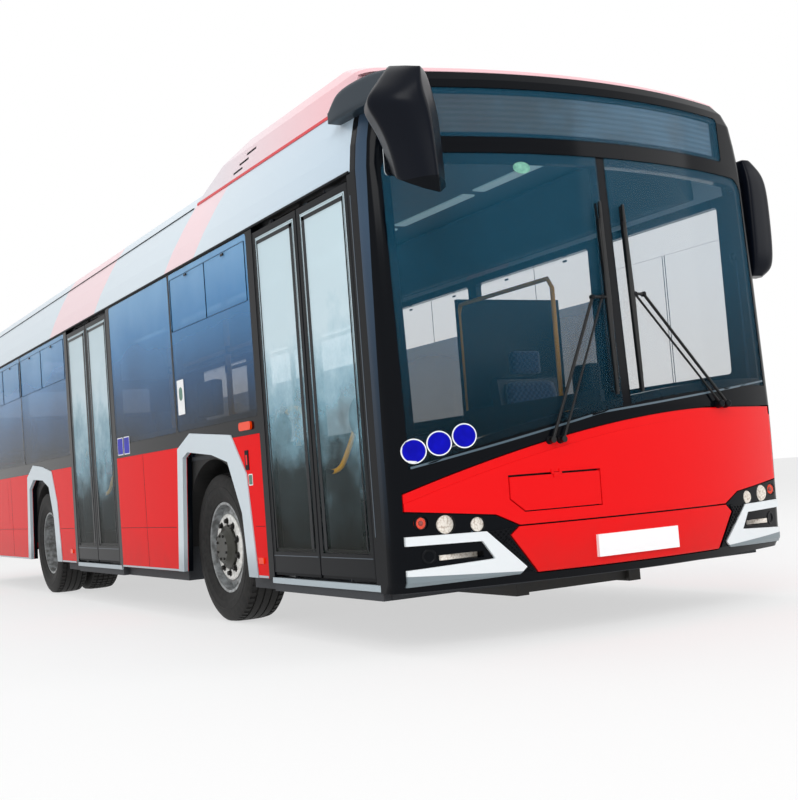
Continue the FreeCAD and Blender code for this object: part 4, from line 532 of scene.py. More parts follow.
def upright_grid(form, x0, x1, z0, z1, columns, rows):
    """Adds a flat grid standing in the XZ plane."""
    stand = Matrix.Translation(((x0 + x1) / 2, 0.0, (z0 + z1) / 2)) @ UPRIGHT
    stretch = Matrix.Diagonal(((x1 - x0) / 2, (z1 - z0) / 2, 1.0, 1.0))
    bmesh.ops.create_grid(form, x_segments=columns, y_segments=rows, size=1.0, matrix=stand @ stretch)


def tube(form, line, radius, sides=8):
    """Sweeps a round section along a line of points, capped at both ends."""
    line = [Vector(point) for point in line]
    last = len(line) - 1
    before = None
    for i, point in enumerate(line):
        ahead = (line[min(i + 1, last)] - line[max(i - 1, 0)]).normalized()
        turn = ahead.to_track_quat("Z", "Y").to_matrix().to_4x4()
        ring = bmesh.ops.create_circle(form, cap_ends=i in (0, last), segments=sides, radius=radius,
                                       matrix=Matrix.Translation(point) @ turn)["verts"]
        edges = list({e for v in ring for e in v.link_edges if e.other_vert(v) in ring})
        if before:
            bmesh.ops.bridge_loops(form, edges=before + edges)
        before = edges


finish_nodes(black_lacquer, "front_mask")
tail_lacquer = enamel("red_black_tail_lacquer", 0.1)
place, axes = place_of(tail_lacquer)
height = add(tail_lacquer, "Math.DIVIDE", [axes["Z"], 3.0])
tone = add(tail_lacquer, "ValToRGB", [height], interpolation="CONSTANT",
           stops=[(0.0, "#080b10"), (0.112, ENAMEL_RED), (0.484, "#080b10"), (0.785, BAND_WHITE)])
feed(tail_lacquer, "Base Color", tone)
finish_nodes(tail_lacquer, "rear_wall")

mask_skin = surface_of("front_mask")
panel_skin = surface_of("front_panel")
glass_skin = surface_of("body_glass")
nose_skins = [mask_skin, panel_skin, glass_skin]

# Black louvre inserts in the three slots on each side of the roof fairing.
fairing_skin = surface_of("roof_unit")
slots = bmesh.new()
for s, z in ((1.784, 2.840), (1.899, 2.806), (1.993, 2.772)):
    skin_x = fairing_skin.ray_cast(Vector((3.0, NOSE_Y + s, z + 0.020)), Vector((-1.0, 0.0, 0.0)))[0].x
    block(slots, (skin_x - 0.030, s - 0.074, z - 0.007), (skin_x - 0.001, s + 0.074, z + 0.007), 0.002)
on_both_sides(slots)
piece("fairing_louvres", slots, rubber, "gloss_black")

# Gasket along the foot of the windscreen: a grey lip whose light grey-blue colour is a painted highlight.
highlight_grey = new_finish("grey_gasket_rubber_painted_highlight", "#4b5f6c", 0.3)
grain(highlight_grey, 1.5, 0.05)
gasket = bmesh.new()
upright_grid(gasket, -1.180, 1.180, 0.0, 0.010, 60, 1)
for vert in gasket.verts:
    x = vert.co.x
    foot_z = 1.0920 + (x + 0.170) * (0.1000 if x > -0.170 else 0.2157)
    vert.co.z += foot_z - (x + 1.19) * (1.19 - x) * 0.006
laid_on(gasket, nose_skins, 0.0022)
thickened(gasket, gasket.faces[:], (0.0, 0.002, 0.0))
piece("windscreen_foot_gasket", gasket, highlight_grey, "gloss_black")

# Three round stickers by the door side corner, plain blue with a white rim.
DISC_PLACES = [(-1.160, 0.958), (-1.040, 0.987), (-0.918, 1.015)]
for name, finish, radius, lift in (("disc_rims", white_vinyl, 0.060, 0.0016),
                                   ("disc_faces", blue_vinyl, 0.054, 0.0024)):
    discs = bmesh.new()
    for x, z in DISC_PLACES:
        bmesh.ops.create_circle(discs, cap_ends=True, segments=40, radius=radius,
                                matrix=Matrix.Translation((x, 0.0, z)) @ UPRIGHT)
    laid_on(discs, [glass_skin, mask_skin], lift)
    thickened(discs, discs.faces[:], (0.0, 0.0008, 0.0))
    piece("windscreen_" + name, discs, finish, "trim_silver")

# Small oval sensor window under the roof edge.
sensor_green = new_finish("printed_pale_green_vinyl")
mottled(sensor_green, "#4f8c7c", "#86c4ae", 30, 0.3, 0.5)
sensor = bmesh.new()
bmesh.ops.create_circle(sensor, cap_ends=True, segments=32, radius=0.030,
                        matrix=Matrix.Translation((-0.480, 0.0, 2.335))
                        @ Matrix.Diagonal((1.6, 1.0, 1.0, 1.0)) @ UPRIGHT)
laid_on(sensor, [glass_skin], 0.0014)
thickened(sensor, sensor.faces[:], (0.0, 0.0008, 0.0))
piece("windscreen_sensor_window", sensor, sensor_green, "gloss_black")

# Sign display behind its glass: blank lamp boards in rows, brown grey to blue grey, in a black box.
sign_board = new_finish("unlit_lamp_board", specular=0.3)
place, axes = place_of(sign_board)
rows = add(sign_board, "TexWave", {"Vector": place, "Scale": 1000.0 / 15.0 / 6.283}, bands_direction="Z")
cloud = add(sign_board, "TexNoise", {"Vector": place, "Scale": 4.5, "Detail": 5.0})
run = add(sign_board, "MapRange", [axes["X"], -0.9, 0.5])
mix = add(sign_board, "Math.MULTIPLY_ADD", [run, 0.7, cloud])
shift = add(sign_board, "Math.SUBTRACT", [mix, 0.25])
tone = add(sign_board, "ValToRGB", [shift], stops=[(0.15, "#5d4836"), (0.5, "#5f5850"), (1.0, "#71879a")])
lines = add(sign_board, "MapRange", [rows.outputs["Fac"], 0.0, 1.0, 0.72])
tinted = add(sign_board, "MixRGB", [1.0, tone, lines], blend_type="MULTIPLY")
feed(sign_board, "Base Color", tinted)
for name, finish, box, lift in (("display", sign_board, (-0.955, 0.955, 2.520, 2.715), -0.022),
                                ("housing", black_anodised, (-1.050, 1.050, 2.455, 2.760), -0.030)):
    board = bmesh.new()
    upright_grid(board, *box, 48, 4)
    laid_on(board, [glass_skin, mask_skin], lift)
    thickened(board, board.faces[:], (0.0, 0.012, 0.0))
    piece("sign_" + name, board, finish, "gloss_black")

# Mesh grilles between the lamps and the bumper: black plastic bars in diamonds about 18 mm across.
satin_black = new_finish("satin_black_plastic", "#0e1014", 0.35, 0.1)
grain(satin_black, 2.0, 0.05, 0.2)

GRILLE_OUTLINES = [[(0.842, 0.548), (0.690, 0.560), (0.735, 0.523), (0.770, 0.478)],
                   [(0.770, 0.478), (0.735, 0.523), (0.606, 0.338), (0.650, 0.358)]]
BAR_WIDTH = 0.006
scratch = bpy.data.meshes.new("scratch")
grilles = bmesh.new()
for outline in GRILLE_OUTLINES:
    net = bmesh.new()
    lean = Matrix.Translation((0.725, 0.0, 0.450)) @ Matrix.Rotation(math.pi / 4, 4, "Y")
    bmesh.ops.create_grid(net, x_segments=20, y_segments=20, size=0.1875,
                          matrix=lean @ UPRIGHT)
    cut_to(net, outline)
    bmesh.ops.inset_individual(net, faces=net.faces[:], thickness=BAR_WIDTH / 2, use_even_offset=True)
    inner = [f for f in net.faces if all(len(v.link_edges) == 3 for v in f.verts)]
    bmesh.ops.delete(net, geom=inner, context="FACES")
    net.to_mesh(scratch)
    net.free()
    grilles.from_mesh(scratch)
laid_on(grilles, nose_skins, 0.006)
thickened(grilles, grilles.faces[:], (0.0, 0.005, 0.0))
on_both_sides(grilles)
piece("bumper_corner_grilles", grilles, satin_black, "gloss_black")

# Round tow cover beside each daytime lamp: a dished black cap.
caps = bmesh.new()
spot, outward = mask_skin.ray_cast(Vector((1.122, -OUTSIDE_Y, 0.456)), FORWARD)[:2]
turned(caps, [(-0.004, 0.0), (-0.004, 0.022), (0.005, 0.027), (0.005, 0.034), (0.0, 0.038), (-0.010, 0.038),
              (-0.010, 0.0)], spot, outward, 32)
on_both_sides(caps)
piece("tow_covers", caps, satin_black, "gloss_black", smooth=True)

# Crease of the black moulding beside the inner lamp, as a fine bead coloured as a painted highlight.
creases = bmesh.new()
tube(creases, [on_nose(mask_skin, 0.915 - 0.010 * i, 0.556 + 0.0088 * i) for i in range(6)], 0.004)
on_both_sides(creases)
piece("moulding_crease_highlights", creases, highlight_grey, "gloss_black", smooth=True)


# Glass
# Bonded safety glass: blue-grey side panes, clear where the driver looks out and in the upper
# lights, and a green-blue windscreen. It is see-through in straight lines, so the cabin shows.

def safety_glass(name, tint, share):
    """Flat glass; tint and share are what a viewer shows that doesn't read the nodes added to it."""
    finish = new_finish(name, tint, 0.02, 0.12)
    feed(finish, "IOR", 1.52)
    feed(finish, "Alpha", share)
    return finish


body_glass = safety_glass("tinted_safety_glass_painted_reflection", "#2a4a66", 0.42)
place, axes = place_of(body_glass)
# Painted reflection over the blue tint: the side panes run from dark at the foot to pale sky blue at the
# top in cloudy patches, and the windscreen from dark teal low to paler high.
reflection_clouds = add(body_glass, "TexNoise", {"Vector": place, "Scale": 1.1, "Detail": 4.0})
painted_light_rise = add(body_glass, "MapRange", [axes["Z"], 1.25, 2.35, 0.0, 0.85])
depth = add(body_glass, "Math.MULTIPLY_ADD", [reflection_clouds, 0.36, -0.18])
reflection_level = add(body_glass, "Math.ADD", [painted_light_rise, depth])
side_tint_and_reflection = add(body_glass, "ValToRGB", [reflection_level], stops=[(0.0, "#10202e"), (0.28, "#2a5f8f"),
                                                        (0.6, "#5c9fd8"), (0.9, "#9ad0fb")])
low = add(body_glass, "MapRange", [axes["Z"], 0.95, 1.9])
screen_tint_and_reflection = add(body_glass, "MixRGB", [low, "#14303c", "#2c6a88"])
screen = add(body_glass, "Math.LESS_THAN", [axes["Y"], NOSE_Y + 0.40])
tone = add(body_glass, "MixRGB", [screen, side_tint_and_reflection, screen_tint_and_reflection])
feed(body_glass, "Base Color", tone)
far_side = add(body_glass, "Math.GREATER_THAN", [axes["X"], 1.0])
cab_part = add(body_glass, "Math.LESS_THAN", [axes["Y"], NOSE_Y + 1.66])
upper = add(body_glass, "Math.GREATER_THAN", [axes["Z"], 1.95])
either = add(body_glass, "Math.MAXIMUM", [cab_part, upper])
clear = add(body_glass, "Math.MULTIPLY", [either, far_side])
side_share = add(body_glass, "MapRange", [clear, 0.0, 1.0, 0.58, 0.06])
share = add(body_glass, "MixRGB", [screen, side_share, (0.20, 0.20, 0.20, 1.0)])
feed(body_glass, "Alpha", share)
finish_nodes(body_glass, "body_glass")

# Door glass: paler, with a painted reflection in cloudy streaks, pale sky blue at the top and darker
# towards the sill.
door_glass = safety_glass("door_safety_glass", "#6f8f9c", 0.48)
place, axes = place_of(door_glass)
reflection_clouds = add(door_glass, "TexNoise", {"Vector": place, "Scale": 2.6, "Detail": 6.0, "Roughness": 0.65})
painted_light_rise = add(door_glass, "MapRange", [axes["Z"], 0.50, 2.1])
depth = add(door_glass, "Math.MULTIPLY_ADD", [reflection_clouds, 0.7, -0.35])
reflection_level = add(door_glass, "Math.ADD", [painted_light_rise, depth])
tone = add(door_glass, "ValToRGB", [reflection_level], stops=[(0.0, "#22271f"), (0.22, "#4b5d60"), (0.45, "#9ccde0"),
                                                   (0.8, "#e2f7ff")])
feed(door_glass, "Base Color", tone)
share = add(door_glass, "MapRange", [reflection_level, 0.2, 0.7, 0.20, 0.66])
feed(door_glass, "Alpha", share)
LEAVES = ("front_a", "front_b", "middle_a", "middle_b")
finish_nodes(door_glass, *["door_glass_" + name for name in LEAVES])


# Doors
# Four inward-gliding leaves in black anodised frames on turning posts. Each pane is held by a
# satin strip, the closing edges carry rubber lips, and inside are yellow bars on black bosses.

for name in LEAVES:
    finish_nodes(black_anodised, "door_arm_" + name)

# Leaf finish: black anodised frame outside, yellow powder coat on the grab bar that stands inside it.
leaf_finish = new_finish("black_frame_yellow_bar", rough=0.32, specular=0.08)
place, axes = place_of(leaf_finish)
inside = add(leaf_finish, "Math.GREATER_THAN", [axes["X"], -SIDE_X + 0.0615])
belt = add(leaf_finish, "Math.COMPARE", [axes["Z"], 1.10, 0.24])
bar = add(leaf_finish, "Math.MULTIPLY", [inside, belt])
tone = add(leaf_finish, "MixRGB", [bar, "#0a0d12", "#f2b40c"])
feed(leaf_finish, "Base Color", tone)
grain(leaf_finish, 4.0, 0.05, 0.2)
finish_nodes(leaf_finish, *["door_leaf_" + name for name in LEAVES])

# Satin retaining strip: dark grey aluminium that shows as a fine light line round the glass.
satin_strip = new_finish("satin_grey_aluminium", "#3c4853", 0.35, metal=0.3)
grain(satin_strip, 2.0, 0.03, 0.2)

DOOR_STARTS = {"front_a": (0.420, 1), "front_b": (1.720, -1), "middle_a": (4.640, 1),
               "middle_b": (5.940, -1)}
LEAF_U = (0.045, 0.643)
LEAF_Z = (0.360, 2.316)
PANE_U = (0.100, 0.588)
PANE_Z = (0.495, 2.261)
for name, (start, way) in DOOR_STARTS.items():
    pane = [start + way * u for u in PANE_U]
    leaf = [start + way * u for u in LEAF_U]
    on_leaf = ("gloss_black", "leaf_" + name)
    strips = bmesh.new()
    s0, s1 = sorted(pane)
    side_frame(strips, -1, s0 - 0.010, s1 + 0.010, PANE_Z[0] - 0.010, PANE_Z[1] + 0.010, 0.007, 0.002,
               0.001)
    piece("glass_strip_" + name, strips, satin_strip, *on_leaf)
    rim = bmesh.new()
    for s0, s1, z0 in ((pane[1] - way * 0.034, pane[1], PANE_Z[0]),
                       (pane[0], pane[0] + way * 0.012, PANE_Z[0]),
                       (*pane, PANE_Z[1] - 0.022)):
        block(rim, (-SIDE_X + 0.0012, s0, z0), (-SIDE_X + 0.0024, s1, PANE_Z[1]), 0.0003)
    piece("pane_border_" + name, rim, black_anodised, *on_leaf)
    lips = bmesh.new()
    low, high = LEAF_Z[0] + 0.004, LEAF_Z[1] - 0.004
    for x0, s0, z0, x1, s1, z1, edge in (
            (0.004, leaf[1] - way * 0.020, low, 0.030, leaf[1] + way * 0.0055, high, 0.004),
            (0.001, leaf[0] + way * 0.014, low, 0.012, leaf[0] - way * 0.004, high, 0.003),
            (0.006, leaf[0] + way * 0.006, LEAF_Z[0] - 0.016, 0.022, leaf[1] - way * 0.006, low, 0.003)):
        block(lips, (-SIDE_X + x0, s0, z0), (-SIDE_X + x1, s1, z1), edge)
    piece("rubber_lips_" + name, lips, rubber, *on_leaf)
    kick = bmesh.new()
    block(kick, (-SIDE_X - 0.0005, start + way * 0.055, 0.452),
          (-SIDE_X + 0.003, start + way * 0.630, 0.457), 0.001)
    piece("kick_line_" + name, kick, satin_strip, *on_leaf)

# Satin strip on the front jamb, beside the first leaf.
boxed("front_jamb_strip", satin_strip, "gloss_black",
      [((-SIDE_X - 0.0015, 0.428, 0.560), (-SIDE_X + 0.004, 0.437, 2.240), 0.001)])


# Wheels
# Pressed steel disc wheels, twinned at the rear, with a bright ring over the ten studs, hexagon
# nuts and dark hubs. The tyres are 275/70 ribs with four grooves and notched shoulders.

WHEELS = {"front_left": (1, 1.050, FRONT_AXLE, 1.128), "front_right": (-1, 1.050, FRONT_AXLE, 1.128),
          "rear_left": (1, 1.095, REAR_AXLE, 0.954), "rear_right": (-1, 1.095, REAR_AXLE, 0.954)}
TWIN_X = 0.785
STUD_RING_R = 0.1675


def wheel_steel(name, axle):
    """Silver wheel paint with brake dust in the hollows, over a dark greasy hub."""
    finish = new_finish(name, rough=0.4, metal=0.35)
    place = place_of(finish)[0]
    centred = add(finish, "Mapping", {"Vector": place, "Location": (0.0, -axle[0], -axle[1]),
                                      "Scale": (0.0, 1.0, 1.0)})
    reach = add(finish, "VectorMath.LENGTH", [centred])
    dust = add(finish, "TexNoise", {"Vector": place, "Scale": 25.0, "Detail": 6.0})
    paint = add(finish, "ValToRGB", [dust], stops=[(0.35, "#6e6f6e"), (0.7, "#b4b8ba")])
    hub = add(finish, "Math.LESS_THAN", [reach.outputs["Value"], 0.1385])
    tone = add(finish, "MixRGB", [hub, paint, "#35352f"])
    feed(finish, "Base Color", tone)
    grain(finish, 3.0, 0.08)
    return finish


for axle_name, axle in (("front", FRONT_AXLE), ("rear", REAR_AXLE)):
    steel = wheel_steel(axle_name + "_wheel_paint", axle)
    finish_nodes(steel, "rim_" + axle_name + "_left", "rim_" + axle_name + "_right")

# Tyre rubber: carbon black, greyed by dust on the tread and wiped darker on the sidewall.
tyre_rubber = new_finish("carbon_black_tyre_rubber", specular=0.3)
mottled(tyre_rubber, "#151515", "#2b2a29", 30, 0.65, 0.85)
grain(tyre_rubber, 1.5, 0.2)

TYRE_HALF = [(0.100, 0.2875), (0.113, 0.3000), (0.119, 0.3180), (0.133, 0.3520), (0.1365, 0.3880),
             (0.1385, 0.3905), (0.1385, 0.3955), (0.1365, 0.3980), (0.1345, 0.4200), (0.1300, 0.4400),
             (0.1230, 0.4610), (0.1140, 0.4715), (0.0810, 0.4765), (0.0795, 0.4680), (0.0715, 0.4680),
             (0.0700, 0.4775), (0.0305, 0.4785), (0.0290, 0.4690), (0.0210, 0.4690), (0.0195, 0.4788)]
TYRE_STEPS = 120
SHOULDER_R, BLOCK_AREA = 0.4735, 0.0006


def tyre(form, side, x, axle):
    """Adds one tyre: ribs and sidewalls spun about the axle."""
    outline = TYRE_HALF + [(-along, radius) for along, radius in reversed(TYRE_HALF)]
    turned(form, outline + outline[:1], (side * x, *axle), ACROSS, TYRE_STEPS)


def tread_faces(form, axle):
    """Every other face along the outermost ribs of the tread."""
    found = []
    for face in form.faces:
        middle = face.calc_center_median()
        y, z = middle.y - axle[0], middle.z - axle[1]
        step = int(round((math.atan2(z, y) + math.pi) / math.tau * TYRE_STEPS - 0.5))
        if math.hypot(y, z) > SHOULDER_R and face.calc_area() > BLOCK_AREA and step % 2:
            found.append(face)
    return found


for name, (side, x, axle, _) in WHEELS.items():
    rubber_form = bmesh.new()
    for tyre_x in (x,) if name.startswith("front") else (x, TWIN_X):
        tyre(rubber_form, side, tyre_x, axle)
    bmesh.ops.recalc_face_normals(rubber_form, faces=rubber_form.faces[:])
    notches = []
    for face in tread_faces(rubber_form, axle):
        reach = abs(face.calc_center_median().x)
        if abs(reach - x) > 0.085 or abs(reach - TWIN_X) < 0.14:
            notches.append(face)
    bmesh.ops.inset_individual(rubber_form, faces=notches, thickness=0.004, depth=-0.006)
    made = piece("tread_" + name, rubber_form, tyre_rubber, "tyre_rubber", "wheel_" + name)
    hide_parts("tyre_" + name)

# Polished stud ring, pressed aluminium; the nuts stand in dark pockets.
polished_ring = new_finish("pressed_aluminium_ring", metal=0.15)
mottled(polished_ring, "#cfcfca", "#f4f4f0", 30, 0.25, 0.4)
nut_steel = new_finish("blackened_nut_steel", metal=0.4)
mottled(nut_steel, "#151514", "#2e2d2a", 12, 0.4, 0.6)
POCKET_LINE = [(0.010, 0.0), (0.010, 0.0235), (0.0142, 0.0235), (0.0142, 0.0)]
NUT_LINE = [(0.012, 0.0), (0.012, 0.016), (0.030, 0.0155), (0.034, 0.012), (0.034, 0.0)]
HUB_BOLT_LINE = [(0.0, 0.0), (0.0, 0.009), (0.007, 0.0085), (0.007, 0.0)]


def round_axle(x, axle, radius, share):
    """A point at this share of a turn round an axle."""
    angle = math.tau * share
    return Vector((x, axle[0] + radius * math.sin(angle), axle[1] + radius * math.cos(angle)))


for name, (side, _, axle, face_x) in WHEELS.items():
    ring = bmesh.new()
    start = side * (face_x + 0.0005)
    turned(ring, [(0.0, 0.141), (side * 0.010, 0.144), (side * 0.013, 0.150), (side * 0.013, 0.202),
                  (side * 0.009, 0.212), (0.0, 0.217), (0.0, 0.141)], (start, *axle), ACROSS, 60)
    piece("stud_ring_" + name, ring, polished_ring, "rim_silver", "wheel_" + name, True)
    nuts = bmesh.new()
    hub_x = side * (1.190 if name.startswith("front") else 1.0905)
    for line, steps in ((POCKET_LINE, 20), (NUT_LINE, 6)):
        for i in range(10):
            turned(nuts, [(side * along, radius) for along, radius in line],
                   round_axle(start, axle, STUD_RING_R, i / 10), ACROSS, steps)
    for i in range(8):
        turned(nuts, [(side * along, radius) for along, radius in HUB_BOLT_LINE],
               round_axle(hub_x, axle, 0.078, (i + 0.5) / 8), ACROSS, 6)
    piece("wheel_nuts_" + name, nuts, nut_steel, "rim_silver", "wheel_" + name)


# Cabin
# Grey laminate lining with air ducts and lamp strips over the aisle, moquette pads on moulded seat
# shells, powder-coated yellow rails with black clamps, and a moulded dashboard with two displays.

# Moulded ABS: dark grey with a leather-like press grain about 1.2 mm wide, drawn at 3 mm to show.
abs_grey = new_finish("grained_abs_grey", "#1d2127", 0.55, 0.3)
grain(abs_grey, 3.0, 0.25)
finish_nodes(abs_grey, "driver_cab", "steering_wheel")
seat_shell = new_finish("moulded_seat_shell", "#141c2c", 0.45, 0.3)
grain(seat_shell, 3.0, 0.15)
finish_nodes(seat_shell, "seats")

# Powder coat: signal yellow, slightly pebbled.
yellow_coat = new_finish("yellow_powder_coat", "#e6a60a", 0.35)
grain(yellow_coat, 4.0, 0.1)
finish_nodes(yellow_coat, "handrails")

# High pressure laminate: blue grey, satin, with a fine pressed texture.
laminate = new_finish("blue_grey_laminate", specular=0.3)
mottled(laminate, "#28414f", "#35525f", 200, 0.4, 0.5)
boxed("ceiling_lining", laminate, "cab_grey", [((-1.020, 0.620, 2.770), (1.020, 10.050, 2.780), 0.003)])
ducts = bmesh.new()
corners = [(1.205, 2.380), (1.205, 2.640), (0.960, 2.768), (0.930, 2.740), (1.150, 2.390)]
face = ducts.faces.new([ducts.verts.new((x, NOSE_Y + 0.650, z)) for x, z in corners])
thickened(ducts, [face], (0.0, 9.370, 0.0))
ends = [e for e in ducts.edges if abs(e.verts[0].co.y - e.verts[1].co.y) > 1.0]
bmesh.ops.bevel(ducts, geom=ends, offset=0.012, segments=3, profile=0.5, affect="EDGES", material=-1)
door_side = on_both_sides(ducts)
bmesh.ops.bisect_plane(ducts, geom=door_side, plane_co=(0.0, NOSE_Y + 1.760, 0.0), plane_no=-FORWARD,
                       clear_outer=True)
piece("air_ducts", ducts, laminate, "cab_grey")

lamp_strip = new_finish("frosted_cabin_lamp", "#c9dde2", 0.4)
feed(lamp_strip, "Emission Color", "#bfe4ea")
feed(lamp_strip, "Emission Strength", 0.25)
grain(lamp_strip, 2.0, 0.03)
boxed("cabin_lamps", lamp_strip, "lamp_lens",
      [((0.560, 1.10 * i, 2.758), (0.660, 1.10 * i + 0.980, 2.771), 0.004) for i in range(1, 9)], True)

# Seat pads: wool moquette, woven in a fine blue and grey check about 8 mm across, drawn at 20 mm.
moquette = new_finish("woven_moquette", rough=0.9)
feed(moquette, "Sheen Weight", 0.4)
place = place_of(moquette)[0]
check = add(moquette, "TexChecker", {"Vector": place, "Scale": 50.0, "Color1": "#1b2c52",
                                     "Color2": "#3b4d6f"})
feed(moquette, "Base Color", check)
grain(moquette, 2.0, 0.4)


def cushion(form, low, high, thin, turn=None):
    """Adds a crowned pad: thin at the rim, sides drawn in between its corners, two sewn channels."""
    count = len(form.verts)
    cube = bmesh.ops.create_cube(form, size=2.0)["verts"]
    bmesh.ops.subdivide_edges(form, edges=list({e for v in cube for e in v.link_edges}), cuts=7,
                              use_grid_fill=True)
    form.verts.ensure_lookup_table()
    pad = form.verts[count:]
    across, along = 0, 3 - thin
    for vert in pad:
        u, v = vert.co[across], vert.co[along]
        rim = math.sqrt(max(0.0, (1 - u ** 6) * (1 - v ** 6)))
        channel = 0.12 * rim if abs(abs(u) - 0.5) < 0.01 else 0.0
        corner = max(1.0, (u ** 8 + v ** 8) ** 0.125)
        vert.co[thin] *= 0.42 + 0.40 * rim + 0.18 * (1 - u * u) * (1 - v * v) - channel
        vert.co[across] = u * (1 - 0.03 * (1 - v * v)) / corner
        vert.co[along] = v * (1 - 0.03 * (1 - u * u)) / corner
    centre = (Vector(low) + Vector(high)) / 2
    size = Vector(high) - centre
    placed = Matrix.Translation(centre) @ (turn or Matrix()) @ Matrix.Diagonal((*size, 1.0))
    bmesh.ops.transform(form, matrix=placed, verts=pad)


WALL_X, AISLE_X, SEAT_WIDE = 0.7547, 0.3147, 0.430
LOW_FLOOR, HIGH_FLOOR, DECK = 0.330, 0.560, 1.020
SEAT_PLACES = [(x, s, LOW_FLOOR) for s in (3.420, 4.180, 4.940, 5.700) for x in (WALL_X, AISLE_X)]
SEAT_PLACES += [(-x - SEAT_WIDE, 3.420, LOW_FLOOR) for x in (WALL_X, AISLE_X)]
ROW_OF_FOUR = (WALL_X, AISLE_X, -WALL_X - SEAT_WIDE, -AISLE_X - SEAT_WIDE)
SEAT_PLACES += [(x, 7.860, HIGH_FLOOR) for x in ROW_OF_FOUR]
SEAT_PLACES += [(x, 9.240, DECK) for x in (*ROW_OF_FOUR, -0.215)]
pads = bmesh.new()
back = Matrix.Rotation(math.radians(-8.0), 4, "X")
for x, s, floor_z in SEAT_PLACES:
    y = NOSE_Y + s
    cushion(pads, (x + 0.025, y + 0.020, floor_z + 0.399), (x + 0.405, y + 0.370, floor_z + 0.447), 2)
    cushion(pads, (x + 0.030, y + 0.372, floor_z + 0.450), (x + 0.400, y + 0.414, floor_z + 0.850), 1, back)
pad_piece = piece("seat_pads", pads, moquette, "seat_blue", smooth=True)

driver_pads = bmesh.new()
cushion(driver_pads, (0.480, NOSE_Y + 1.350, 0.785), (0.900, NOSE_Y + 1.700, 0.855), 2)
cushion(driver_pads, (0.490, NOSE_Y + 1.710, 0.880), (0.890, NOSE_Y + 1.778, 1.420), 1,
        Matrix.Rotation(math.radians(-8.5), 4, "X"))
cushion(driver_pads, (0.570, NOSE_Y + 1.787, 1.460), (0.810, NOSE_Y + 1.853, 1.620), 1)
driver_pad_piece = piece("driver_seat_pads", driver_pads, moquette, "seat_blue", smooth=True)

# Rail clamps: moulded black sockets at the floor, the ceiling and each crossing of the rails.
POLES = [(x, s) for x in (-0.285, 0.285) for s in (3.360, 4.600, 6.060)]
POLE_R = 0.018
clamps = bmesh.new()
for x, s in POLES:
    for z, tall, radius in ((0.331, 0.030, 0.034), (1.965, 0.070, 0.026), (2.730, 0.038, 0.034)):
        turned(clamps, [(0.0, POLE_R), (0.0, radius), (tall, radius), (tall, POLE_R), (0.0, POLE_R)],
               (x, NOSE_Y + s, z), UPWARD, 24)
piece("rail_clamps", clamps, satin_black, "cab_grey")

# Stop buttons: a red dome in a yellow box on every pole of the aisle.
buttons = bmesh.new()
domes = bmesh.new()
for x, s in POLES:
    block(buttons, (x - 0.024, s - 0.048, 1.380), (x + 0.024, s - 0.015, 1.480), 0.006)
    turned(domes, [(0.0, 0.016), (-0.004, 0.015), (-0.008, 0.010), (-0.010, 0.0)],
           (x, NOSE_Y + s - 0.048, 1.430), FORWARD, 20)
piece("stop_button_boxes", buttons, yellow_coat, "rail_yellow")
piece("stop_button_domes", domes, red_enamel, "body_red", smooth=True)

# Dashboard: two blank displays, a row of rocker switches, and a ticket printer.
boxed("dash_displays", black_lacquer, "gloss_black",
      [((0.560, 0.700, 1.000), (0.830, 0.712, 1.100), 0.004, Matrix.Rotation(math.radians(-30.0), 4, "X")),
       ((0.960, 0.660, 1.010), (1.120, 0.672, 1.130), 0.004, Matrix.Rotation(math.radians(-20.0), 4, "X"))])
rockers = [(0.865 + (i % 4) * 0.024, 1.000 + (i // 4) * 0.034) for i in range(8)]
boxed("dash_switches", satin_black, "cab_grey",
      [((x, 0.670, z), (x + 0.020, 0.690, z + 0.028), 0.003) for x, z in rockers]
      + [((0.400, 0.780, 1.250), (0.480, 0.960, 1.420), 0.012)])

# Rail over the door of the driver's cab: a bent yellow tube.
cab_frame = bmesh.new()
rail_line = [(1.000, 1.250), (1.000, 1.900), (1.040, 1.960), (1.900, 1.960), (2.010, 1.960), (2.040, 1.900),
             (2.040, 1.250)]
tube(cab_frame, [(0.345, NOSE_Y + s, z) for s, z in rail_line], 0.014, 12)
piece("cab_side_rail", cab_frame, yellow_coat, "rail_yellow", smooth=True)


# Mirrors and wipers
# Ear-shaped mirrors of satin blue-black plastic with silvered glass let into their backs, on a slate
# grey arm; pantograph wipers of black-coated steel with rubber lips and capped spindles.

mirror_plastic = new_finish("satin_blue_black_plastic", "#0b0f18", 0.28, 0.10)
grain(mirror_plastic, 3.0, 0.06, 0.2)
finish_nodes(mirror_plastic, "mirrors")
arm_plastic = new_finish("satin_slate_arm_plastic", "#25313b", 0.4, 0.15)
grain(arm_plastic, 3.0, 0.06, 0.2)
silvered = new_finish("silvered_mirror_glass", "#dfe5e8", 0.03, metal=1.0)
grain(silvered, 40.0, 0.01, 0.05)

HEAD_ROWS = [(1.980, 1.322, 1.228, 1.124, -0.330), (2.190, 1.342, 1.240, 1.130, -0.330),
             (2.350, 1.380, 1.248, 1.134, -0.330), (2.450, 1.436, 1.260, 1.140, -0.330),
             (2.515, 1.486, 1.272, 1.146, -0.326), (2.605, 1.412, 1.286, 1.158, -0.318),
             (2.672, 1.362, 1.270, 1.168, -0.300), (2.690, 1.340, 1.262, 1.180, -0.290)]
ARM_ROWS = [(0.570, -1.296, -1.190, 2.636, 2.690), (0.500, -1.302, -1.180, 2.632, 2.730),
            (0.420, -1.306, -1.170, 2.628, 2.766), (0.110, -1.312, -1.170, 2.612, 2.744),
            (-0.100, -1.322, -1.180, 2.560, 2.700), (-0.170, -1.335, -1.200, 2.530, 2.655)]
SIDE_ROWS = [(1.862, 1.425, 0.040), (1.895, 1.478, 0.018), (1.960, 1.499, 0.0), (2.240, 1.499, 0.0),
             (2.400, 1.490, 0.0), (2.480, 1.470, 0.012), (2.556, 1.410, 0.040)]


